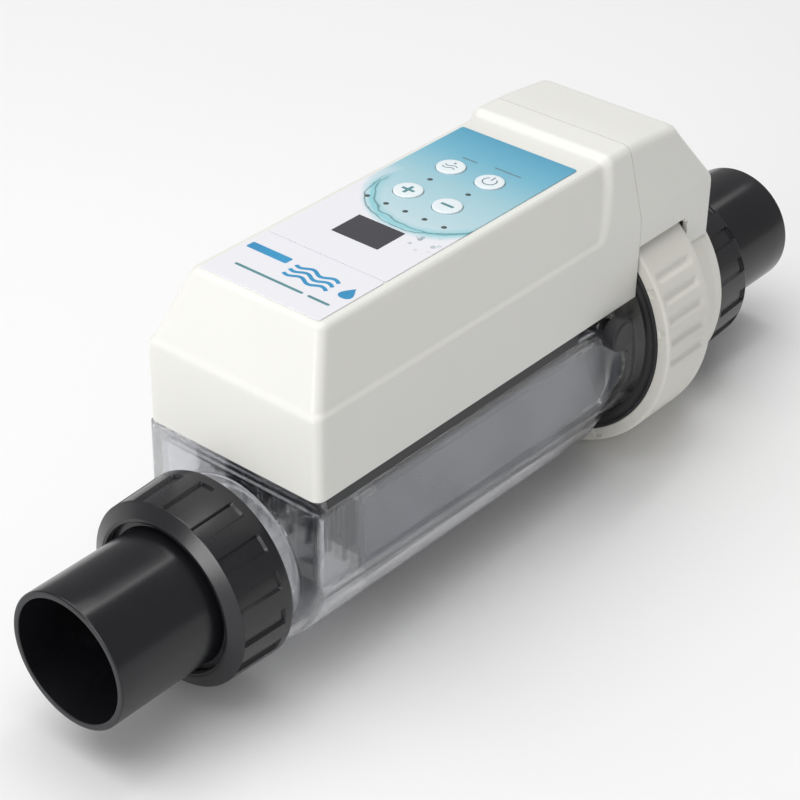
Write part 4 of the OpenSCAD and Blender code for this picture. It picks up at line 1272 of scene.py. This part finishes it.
class CELL_OT_label(BuildStep):
    """Printed sheets on the flat top with their plain marks."""

    bl_idname = "cell.label"
    bl_label = "Label"

    def build(self):
        z0, z1 = LABEL_LOW.z, LABEL_HIGH.z
        x0, x1, half = LABEL_LOW.x, LABEL_HIGH.x, LABEL_HIGH.y
        split = 147.4
        holes = []
        for name in KEYS:
            key = centre_mm(name)
            holes.append(circle(key.x, key.y, KEY_HOLE_R, 48))
        holes += [circle(x, y, 1.2, 20) for x, y in lamp_places()]
        low, high = node_mm("lcd_window")
        holes.append(round_rect(low.x - 0.1, low.y - 0.1, high.x + 0.1, high.y + 0.1, 0.3, 3))
        rounded_slab("keypad_film", [round_rect(split + 0.12, -half, x1, half, 1.2)] + holes, z0, z1,
                     "root", label_print(), ["key_label"])
        rounded_slab("badge_film", [round_rect(x0, -half, split - 0.12, half, 1.2)], z0, z1, "root",
                     label_print())
        z = z1 + 0.01
        self.badge(z)
        self.fine_marks(z)

    def badge(self, z):
        """A drop, three waves, a plain bar and two rules."""

        def print_mark(name, outline, ink):
            rounded_slab(name, [outline], z, z + 0.06, "root", ink, bevel=0.01)

        drop = []
        for k in range(48):
            t = TAU * k / 48
            drop.append((131.5 + 4.4 * math.cos(t), -26.2 + 4.6 * math.sin(t) * math.sin(t / 2) ** 1.6))
        print_mark("badge_drop", drop, badge_ink())
        for n, x in enumerate((127.4, 131.1, 134.8)):
            line = [(x + 1.1 * math.sin(TAU * (y + 18) / 11.0), y) for y in [-18.5 + 0.5 * k for k in range(45)]]
            print_mark(f"badge_wave_{n}", stroke(line, 1.7), badge_ink())
        print_mark("badge_bar", round_rect(132.4, 7.4, 137.0, 28.6, 0.7), badge_ink())
        for n, (y0, y1) in enumerate(((-26.5, -15.5), (-13.0, 22.5))):
            print_mark(f"badge_rule_{n}", round_rect(119.2, y0, 120.6, y1, 0.6), mark_ink())

    def fine_marks(self, z):
        """Short plain rules behind the two function keys."""
        for n, (x, y0, y1) in enumerate(((249.0, 4.5, 12.5), (250.6, -17.5, -3.5))):
            rounded_slab(f"key_rule_{n}", [round_rect(x, y0, x + 0.7, y1, 0.3, 2)], z, z + 0.05, "root",
                         fine_ink(), bevel=0.01)


class CELL_OT_keys(BuildStep):
    """Four white keys, each with its raised mark."""

    bl_idname = "cell.keys"
    bl_label = "Keys"

    def marks(self, kind, x, y):
        if kind == "plus":
            return [[(x - 0.75, y - 3.2), (x + 0.75, y - 3.2), (x + 0.75, y - 0.75), (x + 3.2, y - 0.75),
                     (x + 3.2, y + 0.75), (x + 0.75, y + 0.75), (x + 0.75, y + 3.2), (x - 0.75, y + 3.2),
                     (x - 0.75, y + 0.75), (x - 3.2, y + 0.75), (x - 3.2, y - 0.75), (x - 0.75, y - 0.75)]]
        if kind == "minus":
            return [round_rect(x - 0.75, y - 3.2, x + 0.75, y + 3.2, 0.2, 2)]
        if kind == "power":
            arc = [(x + 3.1 * math.cos(t), y + 3.1 * math.sin(t)) for t in
                   [math.radians(35 + 290 * k / 30) for k in range(31)]]
            return [stroke(arc, 0.55), round_rect(x + 0.9, y - 0.3, x + 4.3, y + 0.3, 0.2, 2)]
        waves = []
        for dx in (-1.7, 0.4):
            line = [(x + dx + 0.7 * math.sin(TAU * (k / 24)), y - 3.1 + 6.2 * k / 24) for k in range(25)]
            waves.append(stroke(line, 0.5))
        return waves + [circle(x + 3.0, y, 0.6, 16)]

    def build(self):
        for node in KEYS:
            kind = node.split("_")[1]
            low, high = node_mm(node)
            x, y, _ = centre_mm(node)
            top, foot, wide = high.z, low.z, (high.x - low.x) / 2
            r, rim = wide - 1.2, 0.9
            profile = fillet([
                (foot, AXIS_GAP, 0), (foot, wide, 0.2), (foot + rim, wide, 0.2), (foot + rim, r, 0.1),
                (top - 0.05, r, 0.55), (top, r - 2.2, 2.0), (top, AXIS_GAP, 0),
            ], 4)
            verts, faces = lathe(profile, 0, 64)
            verts = [(x + b, y + c, a) for a, b, c in verts]
            cap = add_piece(node + "_cap", verts, faces, node, "key_cap", [key_white()], [node])
            weld(cap)
            cap.data.set_sharp_from_angle(angle=math.radians(32))
            ink = mark_ink() if kind in ("plus", "minus") else fine_ink()
            for n, outline in enumerate(self.marks(kind, x, y)):
                rounded_slab(f"{node}_mark_{n}", [outline], top - 0.02, top + 0.05, node, ink, bevel=0.01)


class CELL_OT_display(BuildStep):
    """Dark display window and the seven lamp lenses."""

    bl_idname = "cell.display"
    bl_label = "Display and lamps"

    def build(self):
        low, high = node_mm("lcd_window")
        rounded_slab("display_window", [round_rect(low.x, low.y, high.x, high.y, 0.3, 3)], low.z, high.z, "root",
                     display_dark(), ["lcd_window"], bevel=0.08)
        low, high = node_mm("status_leds")
        verts, faces = [], []
        for x, y in lamp_places():
            profile = fillet([
                (low.z, AXIS_GAP, 0), (low.z, 1.1, 0.1), (high.z - 0.1, 1.1, 0.35), (high.z, AXIS_GAP, 0),
            ], 4)
            part, quads = lathe(profile, 0, 20)
            base = len(verts)
            verts += [(x + b, y + c, a) for a, b, c in part]
            faces += [tuple(base + v for v in f) for f in quads]
        add_piece("status_lenses", verts, faces, "root", "light_pipe", [lamp_dark()], ["status_leds"])


class CELL_OT_sensor(BuildStep):
    """Black flow sensor on the side of the round end."""

    bl_idname = "cell.sensor"
    bl_label = "Flow sensor"

    def build(self):
        low, high = node_mm("flow_sensor")
        x, _, z = centre_mm("flow_sensor")
        back, face = -high.y, -low.y
        stem_r, cap_r, cap_len = 5.0, 7.5, 7.2
        profile = fillet([
            (back, AXIS_GAP, 0), (back, 3.0, 0.6), (back + 2, stem_r, 0.6), (face - cap_len, stem_r, 0.2),
            (face - cap_len, cap_r, 0.3), (face - 1.0, cap_r, 0.6), (face, 6.4, 0.8), (face, AXIS_GAP, 0),
        ], 4)
        verts, faces = lathe(profile, 0, 96)
        verts = [(x + b, -a, z + c) for a, b, c in verts]
        add_piece("flow_sensor_body", verts, faces, "housing", "sensor_plastic", [tray_plastic()], ["flow_sensor"])


class CELL_OT_leads(BuildStep):
    """Round heavy leads with their lugs, over the lock ring to the studs."""

    bl_idname = "cell.leads"
    bl_label = "Electrode leads"

    def build(self):
        stud_y, stud_z, wire_r = 12.0, 43.0, 2.0
        lug_x, hole_r, lug_r = 339.6, 3.05, 5.5
        for node, side, slot, colour in (
            ("anode_lead", 1, "lead_red", (0.42, 0.02, 0.015)),
            ("cathode_lead", -1, "lead_black", (0.02, 0.02, 0.02)),
        ):
            low, high = node_mm(node)
            y = side * stud_y
            top = high.z - 2.3
            skin = finish_material(node + " skin", colour, shade(colour, 0.8), 0.45, 0.1, 80.0, 1500.0, bump=0.15)
            x0, x1 = low.x + 2.2, high.x - 2.2
            path = [(x0, y, 55.5), (x0, y, 70), (x0 + 0.3, y, top - 6), (x0 + 6, y, top), (x0 + 24, y, top),
                    (x1 - 24, y, top), (x1 - 6, y, top), (x1 - 0.3, y, top - 6), (x1, y, 72), (x1, y, 58)]
            tube(node + "_wire", path, wire_r, "root", skin, [node])
            profile = fillet([
                (lug_x, hole_r, 0.1), (lug_x, lug_r, 0.3), (lug_x + 3, lug_r, 0.3), (lug_x + 3, hole_r, 0.1),
            ], 3)
            verts, faces = lathe(profile, stud_z, 48)
            verts = [(a, y + b, c) for a, b, c in verts]
            add_piece(node + "_lug", verts, faces, "root", slot, [zinc_steel()])
            sleeve = fillet([(47.8, 0.05, 0), (47.8, wire_r, 0.2), (58.5, 2.35, 0.5), (58.5, 0.05, 0)], 3)
            verts, faces = lathe(sleeve, 0, 32)
            verts = [(x1 + b, y + c, a) for a, b, c in verts]
            add_piece(node + "_crimp", verts, faces, "root", slot, [zinc_steel()])


class CELL_OT_electrodes(BuildStep):
    """Finishes of the electrode pack, its studs and spacers."""

    bl_idname = "cell.electrodes"
    bl_label = "Electrode pack"

    def build(self):
        comb = finish_material(
            "comb white", (0.72, 0.72, 0.70), (0.66, 0.66, 0.64), 0.45, 0.12, 30.0, 1300.0, bump=0.25)
        paint_nodes({
            "anode_plates": titanium_coat(), "cathode_plates": titanium_coat(), "plate_combs": comb,
            "anode_stud": bare_titanium(), "cathode_stud": bare_titanium(), "stud_seals": seal_rubber(),
            "stud_nuts": zinc_steel(), "cell_head": ring_plastic(),
        })


class CELL_OT_electronics(BuildStep):
    """Finishes of the boards and everything on them."""

    bl_idname = "cell.electronics"
    bl_label = "Electronics"

    def build(self):
        relay = finish_material(
            "relay blue", (0.02, 0.08, 0.30), (0.018, 0.07, 0.26), 0.3, 0.1, 40.0, 1500.0, bump=0.1)
        block = finish_material(
            "terminal green", (0.03, 0.20, 0.07), (0.025, 0.17, 0.06), 0.42, 0.1, 60.0, 1500.0, bump=0.2)
        switch = finish_material(
            "switch black", (0.03, 0.03, 0.03), (0.045, 0.045, 0.045), 0.45, 0.1, 90.0, 1500.0, bump=0.2)
        module = finish_material(
            "display block", (0.20, 0.22, 0.21), (0.16, 0.18, 0.17), 0.4, 0.1, 60.0, 1500.0, bump=0.1)
        sleeve = masked_material("capacitor sleeve", (0.02, 0.022, 0.07), (0.45, 0.46, 0.5), 0.32,
                                 stripe_mask(0, 50, 0.16), 0.2)
        copper = masked_material("choke winding", (0.55, 0.22, 0.06), (0.20, 0.07, 0.02), 0.34, winding_mask, 0.3,
                                 height=0.0003)
        ribbon = masked_material("ribbon grey", (0.40, 0.41, 0.43), (0.24, 0.25, 0.27), 0.5,
                                 stripe_mask(1, 780, 0.3), height=0.0002)
        paint_nodes({
            "control_board": board_green(), "power_board": board_green(), "key_switches": switch,
            "lcd_module": module, "polarity_relays": relay, "filter_capacitors": sleeve, "supply_choke": copper,
            "terminal_block": block, "board_cable": ribbon, "heat_sink": sink_metal(),
            "power_standoffs": brass_metal(),
        })


class CELL_OT_fittings(BuildStep):
    """Finishes of the tray, seals, screws and cable gland."""

    bl_idname = "cell.fittings"
    bl_label = "Tray, seals, screws and gland"

    def build(self):
        paint_nodes({
            "base_tray": tray_plastic(), "tray_gasket": seal_rubber(), "inlet_oring": seal_rubber(),
            "head_oring": seal_rubber(), "outlet_oring": seal_rubber(), "sensor_seal": seal_rubber(),
            "gland_seal": seal_rubber(), "cable_gland": tray_plastic(), "gland_nut": tray_plastic(),
            "gland_locknut": tray_plastic(), "cover_screws": zinc_steel(), "cap_screws": zinc_steel(),
            "control_board_screws": zinc_steel(),
        })


def paint_nodes(finishes):
    """Gives CAD nodes their materials."""
    for node, material in finishes.items():
        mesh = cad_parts[node].data
        mesh.materials.clear()
        mesh.materials.append(material)
        for polygon in mesh.polygons:
            polygon.material_index = 0


class CELL_OT_stage(BuildStep):
    """Camera, plain floor and soft lights."""

    bl_idname = "cell.stage"
    bl_label = "Stage"

    def build(self):
        scene = bpy.context.scene
        # Camera: lens, place, and its right and up directions
        camera = bpy.data.cameras.new("view_camera")
        camera.sensor_width = 36
        camera.lens = 101.97
        camera.clip_end = 20
        holder = bpy.data.objects.new("view_camera", camera)
        scene.collection.objects.link(holder)
        right = Vector((0.643601, -0.765208, 0.015403))
        up = Vector((0.410527, 0.362131, 0.836862))
        back = right.cross(up).normalized()
        up = back.cross(right).normalized()
        place = Matrix((right, up, back)).transposed().to_4x4()
        place.translation = Vector((-0.43206, -0.51693, 0.55407))
        holder.matrix_world = place
        scene.camera = holder
        # Floor just under the lock ring
        bm = bmesh.new()
        bmesh.ops.create_grid(bm, x_segments=40, y_segments=40, size=4.0)
        for v in bm.verts:
            v.co.z = RING_LOW.z * MM - 0.0004
        mesh = bpy.data.meshes.new("studio_floor")
        bm.to_mesh(mesh)
        bm.free()
        floor = bpy.data.objects.new("studio_floor", mesh)
        scene.collection.objects.link(floor)
        mesh.materials.append(finish_material(
            "studio floor", (0.90, 0.90, 0.90), (0.885, 0.885, 0.885), 0.7, 0.1, 2.0, 300.0, bump=0.02))
        # Even light from all round, and three soft panels
        world = scene.world or bpy.data.worlds.new("studio")
        scene.world = world
        world.use_nodes = True
        sky = world.node_tree.nodes["Background"]
        sky.inputs["Color"].default_value = (1, 1, 1, 1)
        sky.inputs["Strength"].default_value = 0.38
        for name, place, target, size, power in (
            ("top_light", (-0.15, 0.35, 1.9), (0.15, 0.05, 0), (2.2, 2.2), 32),
            ("front_light", (-2.0, 0.0, 0.42), (0.05, 0, 0.03), (0.9, 0.9), 18),
            ("strip_light", (1.15, 0.05, 1.75), (0.1, 0, 0), (0.22, 1.8), 4),
        ):
            lamp = bpy.data.lights.new(name, "AREA")
            lamp.shape = "RECTANGLE"
            lamp.size, lamp.size_y = size
            lamp.energy = power
            spot = bpy.data.objects.new(name, lamp)
            scene.collection.objects.link(spot)
            spot.location = place
            spot.rotation_euler = (Vector(target) - Vector(place)).to_track_quat("-Z", "Y").to_euler()
        scene.view_settings.view_transform = "Standard"


class CELL_PT_panel(bpy.types.Panel):
    """Sidebar list of sizes, colours and building steps."""

    bl_label = "Cell"
    bl_idname = "CELL_PT_panel"
    bl_space_type = "VIEW_3D"
    bl_region_type = "UI"
    bl_category = "Cell"

    def draw(self, context):
        for group in (context.scene.cell_sizes, context.scene.cell_looks):
            for name in group.__annotations__:
                self.layout.prop(group, name)
        for step in STEPS:
            self.layout.operator(step.bl_idname)


STEPS = (
    CELL_OT_housing, CELL_OT_pipework, CELL_OT_lock_ring, CELL_OT_head, CELL_OT_covers, CELL_OT_label, CELL_OT_keys,
    CELL_OT_display, CELL_OT_sensor, CELL_OT_leads, CELL_OT_electrodes, CELL_OT_electronics, CELL_OT_fittings,
    CELL_OT_stage,
)
CLASSES = (CellLooks, CellSizes, *STEPS, CELL_PT_panel)


def register():
    for item in CLASSES:
        bpy.utils.register_class(item)
    bpy.types.Scene.cell_looks = PointerProperty(type=CellLooks)
    bpy.types.Scene.cell_sizes = PointerProperty(type=CellSizes)


def unregister():
    del bpy.types.Scene.cell_looks
    del bpy.types.Scene.cell_sizes
    for item in reversed(CLASSES):
        bpy.utils.unregister_class(item)


def main():
    register()
    for step in STEPS:
        group, name = step.bl_idname.split(".")
        getattr(getattr(bpy.ops, group), name)()


if __name__ == "__main__":
    main()
